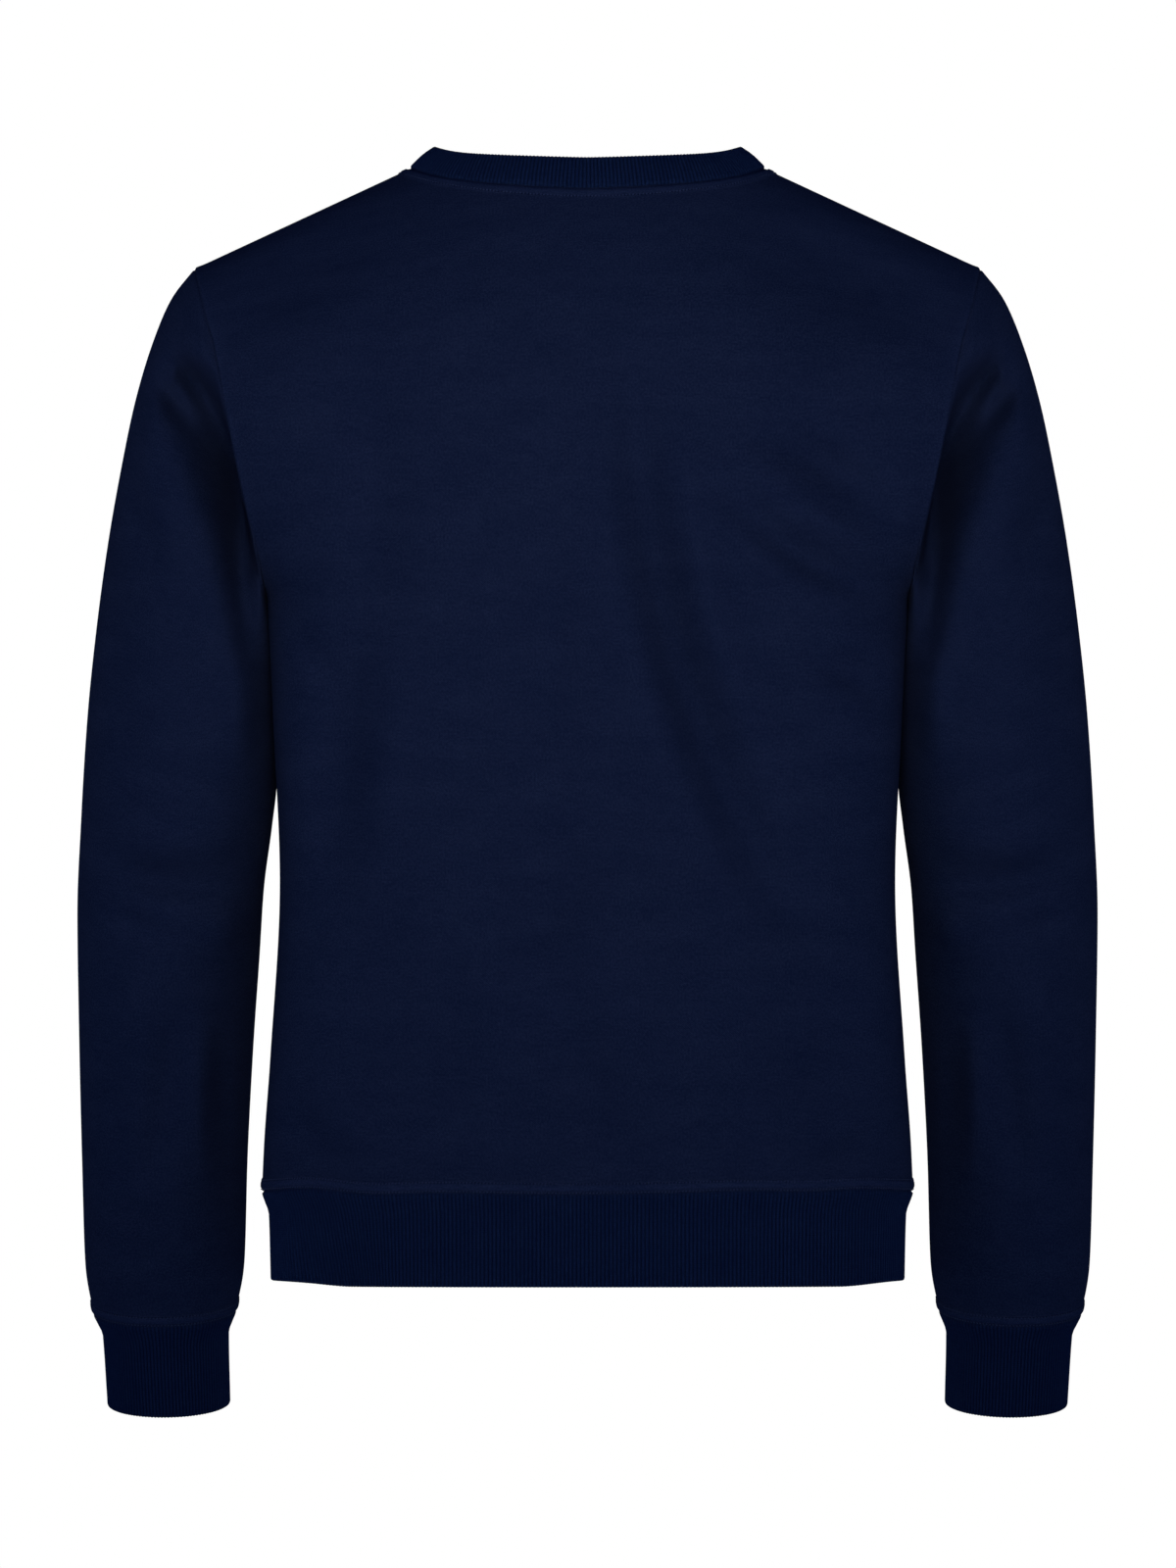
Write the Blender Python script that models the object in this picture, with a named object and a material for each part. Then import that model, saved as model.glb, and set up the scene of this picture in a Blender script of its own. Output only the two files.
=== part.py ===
"""A crewneck sweatshirt, worn shape with no wearer in it: front, back, two set-in sleeves, and ribbed
neck, hem and cuffs.

Metres, +Z up, +X to the wearer's left, and the front faces -Y. The origin is midway between the two
points where the neck seam meets the shoulder seams. Each piece is one wall of cloth, from an outer
grid of points and the same grid moved in by the cloth's thickness. Pieces that are sewn together
share the points of their seam, and each stands back from it by half of SEAM_GAP.
"""

import collections
import math

import bmesh
import bpy
import numpy as np

# Driving dimensions
FLEECE_WALL = 0.0020
RIB_WALL = 0.0024
SEAM_GAP = 0.00036
BAND_WIDTH = 0.0068  # the strip that the coverstitch holds flat beside a rib
BAND_RAISE = 0.0006
BAND_RAMP = 0.0014

NECK_HALF_WIDTH = 0.107
SHOULDER_SLOPE = math.tan(math.radians(25.0))
SHOULDER_TIP_X = 0.2360
TIP_ROUNDING = 0.085  # height over which a panel turns over the shoulder, at its tip
BACK_NECK_ROUNDING = 0.125
FRONT_NECK_ROUNDING = 0.150
BACK_NECK_DROP = 0.0125
BACK_NECK_CURVE = ((0.6, 1.5), (0.4, 6.0))  # shares of the drop, each with its power of x
FRONT_NECK_DROP = 0.075
FRONT_NECK_FULLNESS = 0.92  # 0.5 is an ellipse and 1 a parabola
UNDERARM_Z = -0.256
HEM_SEAM_Z = -0.6135
BACK_SQUARENESS = 2.6  # 2 is an ellipse
FRONT_SQUARENESS = 2.15
ARMHOLE_BACK_DEPTH = 0.068
ARMHOLE_FRONT_DEPTH = 0.073
TIP_CLEARANCE = 0.004  # the body's width stops following the armhole this far below its top
MOST_ARMHOLE_SHARE = 0.97  # of the body's depth beside it
ARMHOLE_HOLD = 5.0  # rings over which the sleeve leaves the armhole's shape

HEM_DEPTH = 0.0565
CUFF_DEPTH = 0.0580
CUFF_WAY = (-0.040, -0.225, -0.974)  # the left cuff's way from its seam to its mouth
NECK_DEPTH = 0.0205
RIB_RAISE = 0.0005
UNDERARM_TURN = 0.6  # share of the way out of the armhole in the direction of its seam's face
HEM_RIBS, HEM_SEGMENTS = 200, 40  # each rib here is a pair of knit wales
CUFF_RIBS, CUFF_SEGMENTS = 50, 20
NECK_RIBS, NECK_SEGMENTS = 128, 32

# How the grids are divided
NECK_COLUMNS = 6
SHOULDER_STEPS = (0.058, 0.22, 0.42, 0.62, 0.82, 1.0)
SIDE_ROWS = 8
ARMHOLE_ROWS = 11
SLEEVE_ROWS = 17

BACK, FRONT = 1.0, -1.0
UP = np.array((0.0, 0.0, 1.0))
ACROSS = np.array((1.0, 0.0, 0.0))
REARWARD = np.array((0.0, 1.0, 0.0))
LEVEL = np.array((1.0, 1.0, 0.0))

Torso = collections.namedtuple("Torso", "height half_width side_y back_y front_y")
TORSO = (
    Torso(-0.6135, 0.1953, 0.012, 0.106, -0.108),
    Torso(-0.5850, 0.1940, 0.014, 0.109, -0.112),
    Torso(-0.5340, 0.1903, 0.016, 0.108, -0.113),
    Torso(-0.4282, 0.1845, 0.018, 0.104, -0.110),
    Torso(-0.3340, 0.1884, 0.020, 0.107, -0.115),
    Torso(-0.2900, 0.1905, 0.018, 0.110, -0.119),
    Torso(-0.2560, 0.1925, 0.004, 0.112, -0.122),
    Torso(-0.2000, 0.1925, 0.001, 0.112, -0.124),
    Torso(-0.1500, 0.1925, -0.001, 0.108, -0.121),
    Torso(-0.1000, 0.1925, -0.003, 0.099, -0.112),
    Torso(-0.0500, 0.1925, -0.005, 0.088, -0.099),
    Torso(0.0300, 0.1925, -0.007, 0.078, -0.082),
)

Armhole = collections.namedtuple("Armhole", "height back_x front_x")
ARMHOLE = (
    Armhole(UNDERARM_Z, 0.1925, 0.1925),
    Armhole(-0.2280, 0.1982, 0.1945),
    Armhole(-0.2000, 0.2056, 0.1990),
    Armhole(-0.1588, 0.2144, 0.2065),
    Armhole(-0.1094, 0.2238, 0.2180),
    Armhole(-0.0847, 0.2303, 0.2265),
    Armhole(-SHOULDER_SLOPE * (SHOULDER_TIP_X - NECK_HALF_WIDTH), SHOULDER_TIP_X, SHOULDER_TIP_X),
)

# Each ring of the left sleeve, by its outermost and innermost points. Tilt lowers the ring's back.
Ring = collections.namedtuple("Ring", "outer_x outer_z inner_x inner_z middle_y half_depth tilt")
SLEEVE = (
    Ring(SHOULDER_TIP_X, ARMHOLE[-1].height, 0.1925, UNDERARM_Z, -0.001, 0.0700, 0.0),
    Ring(0.2500, -0.0785, 0.1940, -0.2660, -0.004, 0.0680, 0.0),
    Ring(0.2620, -0.1070, 0.1915, -0.2810, -0.008, 0.0670, 1.0),
    Ring(0.2720, -0.1410, 0.1898, -0.2990, -0.012, 0.0660, 2.0),
    Ring(0.2800, -0.1790, 0.1882, -0.3200, -0.016, 0.0645, 4.0),
    Ring(0.2880, -0.2240, 0.1880, -0.3420, -0.020, 0.0630, 6.0),
    Ring(0.2950, -0.2750, 0.1882, -0.3670, -0.024, 0.0615, 8.0),
    Ring(0.3005, -0.3280, 0.1905, -0.3960, -0.028, 0.0600, 9.0),
    Ring(0.3045, -0.3900, 0.1945, -0.4320, -0.037, 0.0590, 11.0),
    Ring(0.3070, -0.4500, 0.1972, -0.4720, -0.049, 0.0570, 12.0),
    Ring(0.3062, -0.5200, 0.2012, -0.5280, -0.065, 0.0545, 13.0),
    Ring(0.3047, -0.5950, 0.2048, -0.5950, -0.082, 0.0515, 13.0),
    Ring(0.3029, -0.6580, 0.2068, -0.6570, -0.096, 0.0480, 13.0),
    Ring(0.2982, -0.6880, 0.2118, -0.6860, -0.103, 0.0420, 13.0),
)

# A soft crease from start to end through middle, in X and Z as seen from behind or in front.
FOLD_END_SHARE = 0.35  # of its rise
FOLD_FREE_ROWS = 2.0  # rows from a seam within which a fold fades out
Fold = collections.namedtuple("Fold", "start middle end half_width rise")
BACK_FOLDS = (
    Fold((-0.036, -0.190), (-0.060, -0.310), (-0.118, -0.447), 0.014, -0.0045),
    Fold((-0.064, -0.200), (-0.078, -0.270), (-0.100, -0.350), 0.014, 0.0030),
    Fold((-0.090, -0.207), (-0.130, -0.236), (-0.172, -0.254), 0.013, -0.0040),
    Fold((-0.141, -0.297), (-0.165, -0.312), (-0.180, -0.318), 0.012, -0.0030),
    Fold((0.140, -0.250), (0.146, -0.340), (0.138, -0.428), 0.016, -0.0030),
    Fold((0.028, -0.216), (0.024, -0.320), (0.034, -0.428), 0.018, -0.0020),
)
FRONT_FOLDS = (
    Fold((0.052, -0.180), (0.072, -0.300), (0.112, -0.430), 0.016, -0.0045),
    Fold((0.088, -0.200), (0.128, -0.232), (0.168, -0.252), 0.013, -0.0040),
    Fold((-0.092, -0.190), (-0.130, -0.228), (-0.170, -0.250), 0.014, -0.0040),
    Fold((-0.138, -0.290), (-0.128, -0.370), (-0.140, -0.460), 0.017, -0.0030),
    Fold((-0.020, -0.260), (-0.028, -0.380), (-0.012, -0.480), 0.018, -0.0025),
)
SLEEVE_BACK_FOLDS = (
    Fold((0.246, -0.126), (0.232, -0.136), (0.219, -0.152), 0.010, -0.0045),
    Fold((0.300, -0.410), (0.255, -0.432), (0.200, -0.428), 0.016, -0.0045),
    Fold((0.290, -0.455), (0.245, -0.468), (0.205, -0.490), 0.014, 0.0030),
)
SLEEVE_FRONT_FOLDS = (
    Fold((0.248, -0.120), (0.232, -0.140), (0.214, -0.160), 0.012, -0.0045),
    Fold((0.292, -0.400), (0.250, -0.416), (0.204, -0.404), 0.014, -0.0060),
    Fold((0.290, -0.448), (0.250, -0.452), (0.206, -0.462), 0.014, -0.0045),
)

# How far a rib has drawn in at each distance from its seam
Profile = collections.namedtuple("Profile", "along inward")
HEM_PROFILE = (Profile(0.0, 0.0), Profile(0.0140, 0.0048), Profile(HEM_DEPTH, 0.0058))
CUFF_PROFILE = (Profile(0.0, 0.0), Profile(0.0140, 0.0058), Profile(CUFF_DEPTH, 0.0068))
NECK_PROFILE = (Profile(0.0, 0.0), Profile(0.0110, -0.0006), Profile(NECK_DEPTH, 0.0004))

# Lean of the neck rib from upright, by where it is round the neck
NECK_LEAN_BACK, NECK_LEAN_SIDE, NECK_LEAN_FRONT = 24.0, 49.0, 34.0

FLEECE_COLOUR = (0.0105, 0.0170, 0.0420, 1.0)
RIB_COLOUR = (0.0070, 0.0120, 0.0330, 1.0)
CLOTH_ROUGHNESS = 0.92
SHARP_EDGE = math.radians(50.0)


def column(table, name):
    """One named column of a table, as an array."""
    return np.array([getattr(row, name) for row in table])


def through(knots, values, at):
    """Cubic through the values at the knots, which never rises or falls past them."""
    knots, values = np.asarray(knots, float), np.asarray(values, float)
    step = np.diff(knots)
    rise = np.diff(values) / step
    slope = np.empty_like(values)
    same_way = rise[:-1] * rise[1:] > 0
    total = np.where(same_way, rise[:-1] + rise[1:], 1.0)
    slope[1:-1] = np.where(same_way, 2 * rise[:-1] * rise[1:] / total, 0.0)
    slope[0], slope[-1] = rise[0], rise[-1]
    at = np.clip(at, knots[0], knots[-1])
    i = np.clip(np.searchsorted(knots, at) - 1, 0, len(step) - 1)
    t = (at - knots[i]) / step[i]
    start = values[i] * (1 + 2 * t) * (1 - t) ** 2 + slope[i] * step[i] * t * (1 - t) ** 2
    end = values[i + 1] * t**2 * (3 - 2 * t) - slope[i + 1] * step[i] * t**2 * (1 - t)
    return start + end


def unit(vectors):
    """The vectors at length one."""
    length = np.linalg.norm(vectors, axis=-1, keepdims=True)
    return vectors / np.maximum(length, 1e-12)


def smoothstep(t):
    """0 to 1, level at both ends."""
    t = np.clip(t, 0.0, 1.0)
    return t * t * (3 - 2 * t)


# The body's form


def torso(name, z):
    """One column of the torso table at height z."""
    return through(column(TORSO, "height"), column(TORSO, name), z)


def ridge(x):
    """Height of the shoulder line at x. Inside the neck it levels off."""
    x = np.abs(x)
    inside = SHOULDER_SLOPE * NECK_HALF_WIDTH / 2 * (1 - (x / NECK_HALF_WIDTH) ** 2)
    outside = -SHOULDER_SLOPE * (x - NECK_HALF_WIDTH)
    return np.where(x < NECK_HALF_WIDTH, inside, outside)


def turned_over(side, x, z):
    """Share of the body's full depth that is left near the shoulder line."""
    at_neck = BACK_NECK_ROUNDING if side == BACK else FRONT_NECK_ROUNDING
    outward = smoothstep((np.abs(x) - NECK_HALF_WIDTH) / (SHOULDER_TIP_X - NECK_HALF_WIDTH))
    rounding = at_neck + (TIP_ROUNDING - at_neck) * outward
    down = np.clip((ridge(x) - z) / rounding, 0.0, 1.0)
    return np.sqrt(1 - (1 - down) ** 2)


SHOULDER_TIP_Z = float(ridge(SHOULDER_TIP_X))
ARMHOLE_MIDDLE_Z = (SHOULDER_TIP_Z + UNDERARM_Z) / 2
ARMHOLE_HALF_HEIGHT = (SHOULDER_TIP_Z - UNDERARM_Z) / 2


def armhole_x(side, z):
    """Distance of the armhole seam from the middle of the garment."""
    name = "back_x" if side == BACK else "front_x"
    return through(column(ARMHOLE, "height"), column(ARMHOLE, name), z)


def armhole_reach(side, z):
    """Distance of the armhole seam behind or in front of its own middle."""
    depth = ARMHOLE_BACK_DEPTH if side == BACK else ARMHOLE_FRONT_DEPTH
    up = np.clip((z - ARMHOLE_MIDDLE_Z) / ARMHOLE_HALF_HEIGHT, -1.0, 1.0)
    return depth * np.sqrt(1 - up**2)


def wall_y(side, x, z):
    """Y of the body's outer face: a squared ellipse, as wide as lets the armhole lie on it."""
    square = BACK_SQUARENESS if side == BACK else FRONT_SQUARENESS
    middle = torso("side_y", z)
    depth = np.abs(torso("back_y" if side == BACK else "front_y", z) - middle)
    seam_z = np.minimum(z, SHOULDER_TIP_Z - TIP_CLEARANCE)
    above = seam_z > UNDERARM_Z
    edge = np.where(above, armhole_x(side, seam_z), torso("half_width", z))
    seam_depth = np.abs(torso("back_y" if side == BACK else "front_y", seam_z) - torso("side_y", seam_z))
    left_there = np.maximum(seam_depth * turned_over(side, edge, seam_z), 1e-6)
    share = np.where(above, armhole_reach(side, seam_z) / left_there, 0.0)
    share = np.clip(share, 0.0, MOST_ARMHOLE_SHARE)
    width = edge / (1 - share**square) ** (1 / square)
    across = np.clip(np.abs(x) / width, 0.0, 1.0)
    bulge = (1 - across**square) ** (1 / square)
    return middle + side * depth * turned_over(side, x, z) * bulge


def neck_z(side, x):
    """Height of the neck seam."""
    share = np.clip(np.abs(x) / NECK_HALF_WIDTH, 0.0, 1.0)
    if side == BACK:
        return -BACK_NECK_DROP * (1 - sum(part * share**power for part, power in BACK_NECK_CURVE))
    return -FRONT_NECK_DROP * (1 - share**2) ** FRONT_NECK_FULLNESS


def fold_height(folds, x, z):
    """How far the folds push the cloth out at each point."""
    height = np.zeros_like(x)
    for fold in folds:
        nearest = np.full(x.shape, np.inf)
        along = np.zeros_like(x)
        for t in np.linspace(0.0, 1.0, 25):
            place = (
                (1 - t) ** 2 * np.array(fold.start)
                + 2 * t * (1 - t) * np.array(fold.middle)
                + t**2 * np.array(fold.end)
            )
            far = np.hypot(x - place[0], z - place[1])
            along = np.where(far < nearest, t, along)
            nearest = np.minimum(far, nearest)
        fade = FOLD_END_SHARE + (1 - FOLD_END_SHARE) * np.sin(np.pi * along)
        height += fold.rise * fade * np.exp(-((nearest / fold.half_width) ** 2))
    return height


def grid_normals(points, closed):
    """Unit normals of a grid of points, closed round its first index or not, on either side of it."""
    if closed:
        around = np.roll(points, -1, axis=0) - np.roll(points, 1, axis=0)
    else:
        around = np.gradient(points, axis=0)
    along = np.gradient(points, axis=1)
    return unit(np.cross(around, along))


def panel_grid(side):
    """Outer points of the front or back, by column from -X to +X and by row from hem to shoulder."""
    count = NECK_COLUMNS + len(SHOULDER_STEPS)
    index = np.arange(count + 1)
    low = np.sin(math.pi / 2 * index / count)
    neck = NECK_HALF_WIDTH * np.sin(math.pi / 2 * index[: NECK_COLUMNS + 1] / NECK_COLUMNS)
    reach = SHOULDER_TIP_X - NECK_HALF_WIDTH
    shoulder = NECK_HALF_WIDTH + reach * np.array(SHOULDER_STEPS)
    top_x = np.concatenate((neck, shoulder))
    top_z = np.where(index <= NECK_COLUMNS, neck_z(side, top_x), ridge(top_x))

    band = HEM_SEAM_Z + np.array((0.0, BAND_WIDTH, BAND_WIDTH + BAND_RAMP))
    sides = np.linspace(band[-1], UNDERARM_Z, SIDE_ROWS + 1)
    turn = np.linspace(math.pi, 0.0, ARMHOLE_ROWS + 1)
    armhole = ARMHOLE_MIDDLE_Z + ARMHOLE_HALF_HEIGHT * np.cos(turn)
    edge_z = np.concatenate((band, sides[1:], armhole[1:]))
    rows = len(edge_z)
    edge_share = (edge_z - HEM_SEAM_Z) / (SHOULDER_TIP_Z - HEM_SEAM_Z)

    length = top_z[0] - HEM_SEAM_Z
    below_neck = np.array((0.0, BAND_WIDTH, BAND_WIDTH + BAND_RAMP)) / length
    even = np.linspace(below_neck[-1], 1 - (band[-1] - HEM_SEAM_Z) / length, rows - 4)
    middle_share = np.concatenate((below_neck, even[1:], (1 - BAND_WIDTH / length, 1.0)))
    middle_share = 1 - middle_share[::-1]

    upward = smoothstep((np.arange(rows) - rows + 1 + ARMHOLE_ROWS) / ARMHOLE_ROWS)
    edge_x = np.where(edge_z > UNDERARM_Z, armhole_x(side, edge_z), torso("half_width", edge_z))
    points = np.empty((count + 1, rows, 3))
    for j in index:
        toward_edge = (j / count) ** 2
        share = middle_share + (edge_share - middle_share) * toward_edge
        z = HEM_SEAM_Z + (top_z[j] - HEM_SEAM_Z) * share
        fraction = low[j] + (top_x[j] / SHOULDER_TIP_X - low[j]) * upward
        x = edge_x * fraction
        points[j] = np.stack((x, wall_y(side, x, z), z), axis=-1)
    mirrored = points[:0:-1] * np.array((-1.0, 1.0, 1.0))
    return np.concatenate((mirrored, points))


def sleeve_grid(loop):
    """Outer points of the left sleeve, round it by the armhole's points and down it to the cuff seam."""
    knots = np.arange(len(SLEEVE))
    last = len(SLEEVE) - 1
    length = math.hypot(SLEEVE[-1].outer_z - SLEEVE[-2].outer_z, SLEEVE[-1].outer_x - SLEEVE[-2].outer_x)
    band = last - np.array((BAND_WIDTH + BAND_RAMP, BAND_WIDTH, 0.0)) / length
    rows = np.concatenate((np.linspace(0.0, band[0], SLEEVE_ROWS + 1), band[1:]))
    angles = np.linspace(0.0, 2 * math.pi, len(loop), endpoint=False)
    cos, sin = np.cos(angles)[:, None], np.sin(angles)[:, None]
    points = np.empty((len(loop), len(rows), 3))
    for k, row in enumerate(rows):
        ring = Ring(*(float(through(knots, column(SLEEVE, name), row)) for name in Ring._fields))
        outer = np.array((ring.outer_x, ring.middle_y, ring.outer_z))
        inner = np.array((ring.inner_x, ring.middle_y, ring.inner_z))
        tilt = math.radians(ring.tilt)
        backward = np.array((0.0, math.cos(tilt), -math.sin(tilt)))
        half_depth = ring.half_depth * backward
        points[:, k] = (outer + inner) / 2 + (outer - inner) / 2 * cos + half_depth * sin
    from_loop = loop - points[:, 0]
    fade = (1 - smoothstep(rows / ARMHOLE_HOLD))[None, :, None]
    return points + from_loop[:, None, :] * fade


# Seams. A closed seam runs along cells of the back's grid and then along cells of the front's.

Seam = collections.namedtuple("Seam", "points normals onward")


def tangents(loop):
    """Unit tangents of a closed row of points."""
    return unit(np.roll(loop, -1, axis=0) - np.roll(loop, 1, axis=0))


def square_to(vectors, axes):
    """The unit vectors that are left with the share along the axes taken out."""
    return unit(vectors - np.sum(vectors * axes, axis=-1, keepdims=True) * axes)


def facing(vectors, toward):
    """The vectors, each turned round if it points against the direction given for it."""
    return vectors * np.where(np.sum(vectors * toward, axis=-1, keepdims=True) < 0, -1.0, 1.0)


def seam_between(points, faces, onward):
    """A seam with the normals that its two pieces share, and the way across it to the outer piece."""
    along = tangents(points)
    normals = square_to(faces, along)
    return Seam(points, normals, facing(unit(np.cross(along, normals)), onward))


def closed_seams(columns, rows):
    """Cells of the hem, neck and left armhole: on the back's grid, then on the front's."""
    middle = columns // 2
    underarm = rows - 1 - ARMHOLE_ROWS
    across = np.arange(columns)
    neck = np.arange(middle - NECK_COLUMNS, middle + NECK_COLUMNS + 1)
    up = np.arange(underarm, rows)
    left = np.full(len(up), columns - 1)
    return {
        "hem": ((across, 0 * across), (across[::-1], 0 * across)),
        "neck": ((neck, 0 * neck + rows - 1), (neck[::-1], 0 * neck + rows - 1)),
        "armhole": ((left, up[::-1]), (left, up)),
    }


def read_loop(back, front, cells):
    """Values at a closed seam's cells, as one closed row."""
    return np.concatenate((back[cells[0]], front[cells[1]][1:-1]))


def hand_out(back, front, cells, values):
    """Writes one closed row of values to a seam's cells."""
    count = len(cells[0][0])
    back[cells[0]] = values[:count]
    front[cells[1]] = np.concatenate((values[count - 1 :], values[:1]))


def other_side(grid, cells):
    """A grid's cells on the other side of the garment."""
    return len(grid) - 1 - cells[0], cells[1]


def mirror_x(points):
    """The same points on the other side of the garment."""
    return points * np.array((-1.0, 1.0, 1.0))


# Meshes


def cloth_material(name, colour):
    """Matt cloth of one colour."""
    material = bpy.data.materials.new(name)
    material.use_nodes = True
    shader = material.node_tree.nodes["Principled BSDF"]
    shader.inputs["Base Color"].default_value = colour
    shader.inputs["Roughness"].default_value = CLOTH_ROUGHNESS
    shader.inputs["Metallic"].default_value = 0.0
    return material


def add_object(name, mesh, colour):
    """Closes up the mesh's normals and puts it in the scene with its own material."""
    bmesh.ops.recalc_face_normals(mesh, faces=mesh.faces)
    data = bpy.data.meshes.new(name)
    mesh.to_mesh(data)
    mesh.free()
    data.materials.append(cloth_material(name, colour))
    data.shade_smooth()
    data.set_sharp_from_angle(angle=SHARP_EDGE)
    bpy.context.scene.collection.objects.link(bpy.data.objects.new(name, data))


def close_edge(mesh, a, b, c, d):
    """Fills a wall's edge between its skins, split the short way, as the piece across the seam is."""
    if (a.co - c.co).length < (b.co - d.co).length:
        mesh.faces.new((a, b, c))
        mesh.faces.new((a, c, d))
    else:
        mesh.faces.new((a, b, d))
        mesh.faces.new((b, c, d))


def wall(name, outer, inner, closed, colour):
    """One closed wall of cloth between two grids of points."""
    mesh = bmesh.new()
    columns, rows = outer.shape[:2]
    skins = [[[mesh.verts.new(p) for p in line] for line in grid] for grid in (outer, inner)]
    turns = columns if closed else columns - 1
    for skin in skins:
        for i in range(turns):
            near, far = skin[i], skin[(i + 1) % columns]
            for k in range(rows - 1):
                mesh.faces.new((near[k], far[k], far[k + 1], near[k + 1]))
    over, under = skins
    for i in range(turns):
        j = (i + 1) % columns
        for k in (0, rows - 1):
            close_edge(mesh, over[i][k], over[j][k], under[j][k], under[i][k])
    if not closed:
        for i in (0, columns - 1):
            for k in range(rows - 1):
                close_edge(mesh, over[i][k], over[i][k + 1], under[i][k + 1], under[i][k])
    add_object(name, mesh, colour)


def along_loop(loop, values, shares):
    """Values given at the points of a closed row, at shares of the way round it."""
    ring = np.concatenate((loop, loop[:1]))
    value = np.concatenate((values, values[:1]))
    far = np.concatenate(((0.0,), np.cumsum(np.linalg.norm(np.diff(ring, axis=0), axis=1))))
    return np.stack([np.interp(shares * far[-1], far, value[:, c]) for c in range(3)], axis=-1)


def band_faces(loop, ways, outward):
    """Outer faces' normals of a band that runs the given ways from a closed seam."""
    return facing(unit(np.cross(tangents(loop), ways)), outward)


def rib_band(name, seam, ways, profile, ribs, segments):
    """A ribbed band from a closed seam: raised ribs outside, and a plain inside with fewer points."""
    outer_shares = np.arange(2 * ribs) / (2 * ribs)
    inner_shares = np.arange(segments) / segments
    per_segment = 2 * ribs // segments
    faces = band_faces(seam.points, ways, seam.normals)
    raised = (np.arange(2 * ribs) % 2 * RIB_RAISE)[:, None]
    skins = []
    for shares, lift in ((outer_shares, raised), (inner_shares, -RIB_WALL)):
        start = along_loop(seam.points, seam.points, shares)
        normal, onward, way, face = (
            unit(along_loop(seam.points, values, shares))
            for values in (seam.normals, seam.onward, ways, faces)
        )
        lines = [start + lift * normal + SEAM_GAP / 2 * onward]
        for row in profile[1:]:
            lines.append(start + row.along * way + (lift - row.inward) * face)
        skins.append(lines)
    mesh = bmesh.new()
    over, under = [[[mesh.verts.new(p) for p in line] for line in skin] for skin in skins]
    for skin, count in ((over, 2 * ribs), (under, segments)):
        for k in range(len(profile) - 1):
            for i in range(count):
                j = (i + 1) % count
                mesh.faces.new((skin[k][i], skin[k][j], skin[k + 1][j], skin[k + 1][i]))
    for k in (0, len(profile) - 1):
        for s in range(segments):
            near, far = under[k][s], under[k][(s + 1) % segments]
            first = s * per_segment
            edge = [over[k][i % (2 * ribs)] for i in range(first, first + per_segment + 1)]
            half = per_segment // 2
            for i in range(per_segment):
                mesh.faces.new((edge[i], edge[i + 1], near if i < half else far))
            mesh.faces.new((edge[half], far, near))
    add_object(name, mesh, RIB_COLOUR)


# The garment


def neck_ways(loop):
    """The way the neck rib stands at each point of its seam: up, and leaning in over the neck."""
    across = np.clip(np.abs(loop[:, 0]) / NECK_HALF_WIDTH, 0.0, 1.0)
    ends = np.where(loop[:, 1] > torso("side_y", 0.0), NECK_LEAN_BACK, NECK_LEAN_FRONT)
    lean = np.radians(ends + (NECK_LEAN_SIDE - ends) * across**2)[:, None]
    along = tangents(loop)
    inward = facing(unit(np.cross(UP, along)), -loop * LEVEL)
    return square_to(np.cos(lean) * UP + np.sin(lean) * inward, along)


def edge_fade(shape, closed):
    """0 on a grid's seams and 1 two rows in from them, so that folds leave the seams in place."""
    columns, rows = shape
    up = np.arange(rows)
    fade = np.clip(np.minimum(up, rows - 1 - up) / FOLD_FREE_ROWS, 0.0, 1.0)[None, :]
    if closed:
        return np.repeat(fade, columns, axis=0)
    across = np.arange(columns)
    inward = np.clip(np.minimum(across, columns - 1 - across) / FOLD_FREE_ROWS, 0.0, 1.0)
    return fade * inward[:, None]


def raise_folds(grid, normals, folds, closed=False, share=1.0):
    """Moves an outer grid out and in by its folds."""
    height = share * fold_height(folds, grid[..., 0], grid[..., 2])
    return grid + (height * edge_fade(height.shape, closed))[..., None] * normals


def make_body():
    """The back's and front's grids with their normals, which meet along their sides and shoulders."""
    back, front = panel_grid(BACK), panel_grid(FRONT)
    columns, rows = back.shape[:2]
    up = np.arange(rows - ARMHOLE_ROWS)
    out = np.arange(columns // 2 + NECK_COLUMNS, columns)
    joins = ((np.full(len(up), columns - 1), up), (out, np.full(len(out), rows - 1)))
    cells = [side for join in joins for side in (join, other_side(back, join))]
    for cell in cells:
        front[cell] = back[cell]
    back_faces = facing(grid_normals(back, False), REARWARD)
    front_faces = facing(grid_normals(front, False), -REARWARD)
    back = raise_folds(back, back_faces, BACK_FOLDS)
    front = raise_folds(front, front_faces, FRONT_FOLDS)
    gap = np.zeros_like(back)
    for cell in cells:
        both = unit(back_faces[cell] + front_faces[cell])
        back_faces[cell] = both
        front_faces[cell] = both
        gap[cell] = SEAM_GAP / 2 * REARWARD
    return back, front, {"back": back_faces, "front": front_faces}, gap


def make_sleeve(loop):
    """The left sleeve's grid and normals."""
    grid = sleeve_grid(loop)
    faces = facing(grid_normals(grid, True), grid - grid.mean(axis=0))
    behind = np.clip(faces[..., 1], 0.0, 1.0)
    before = np.clip(-faces[..., 1], 0.0, 1.0)
    grid = raise_folds(grid, faces, SLEEVE_BACK_FOLDS, True, behind)
    return raise_folds(grid, faces, SLEEVE_FRONT_FOLDS, True, before), faces


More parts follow.
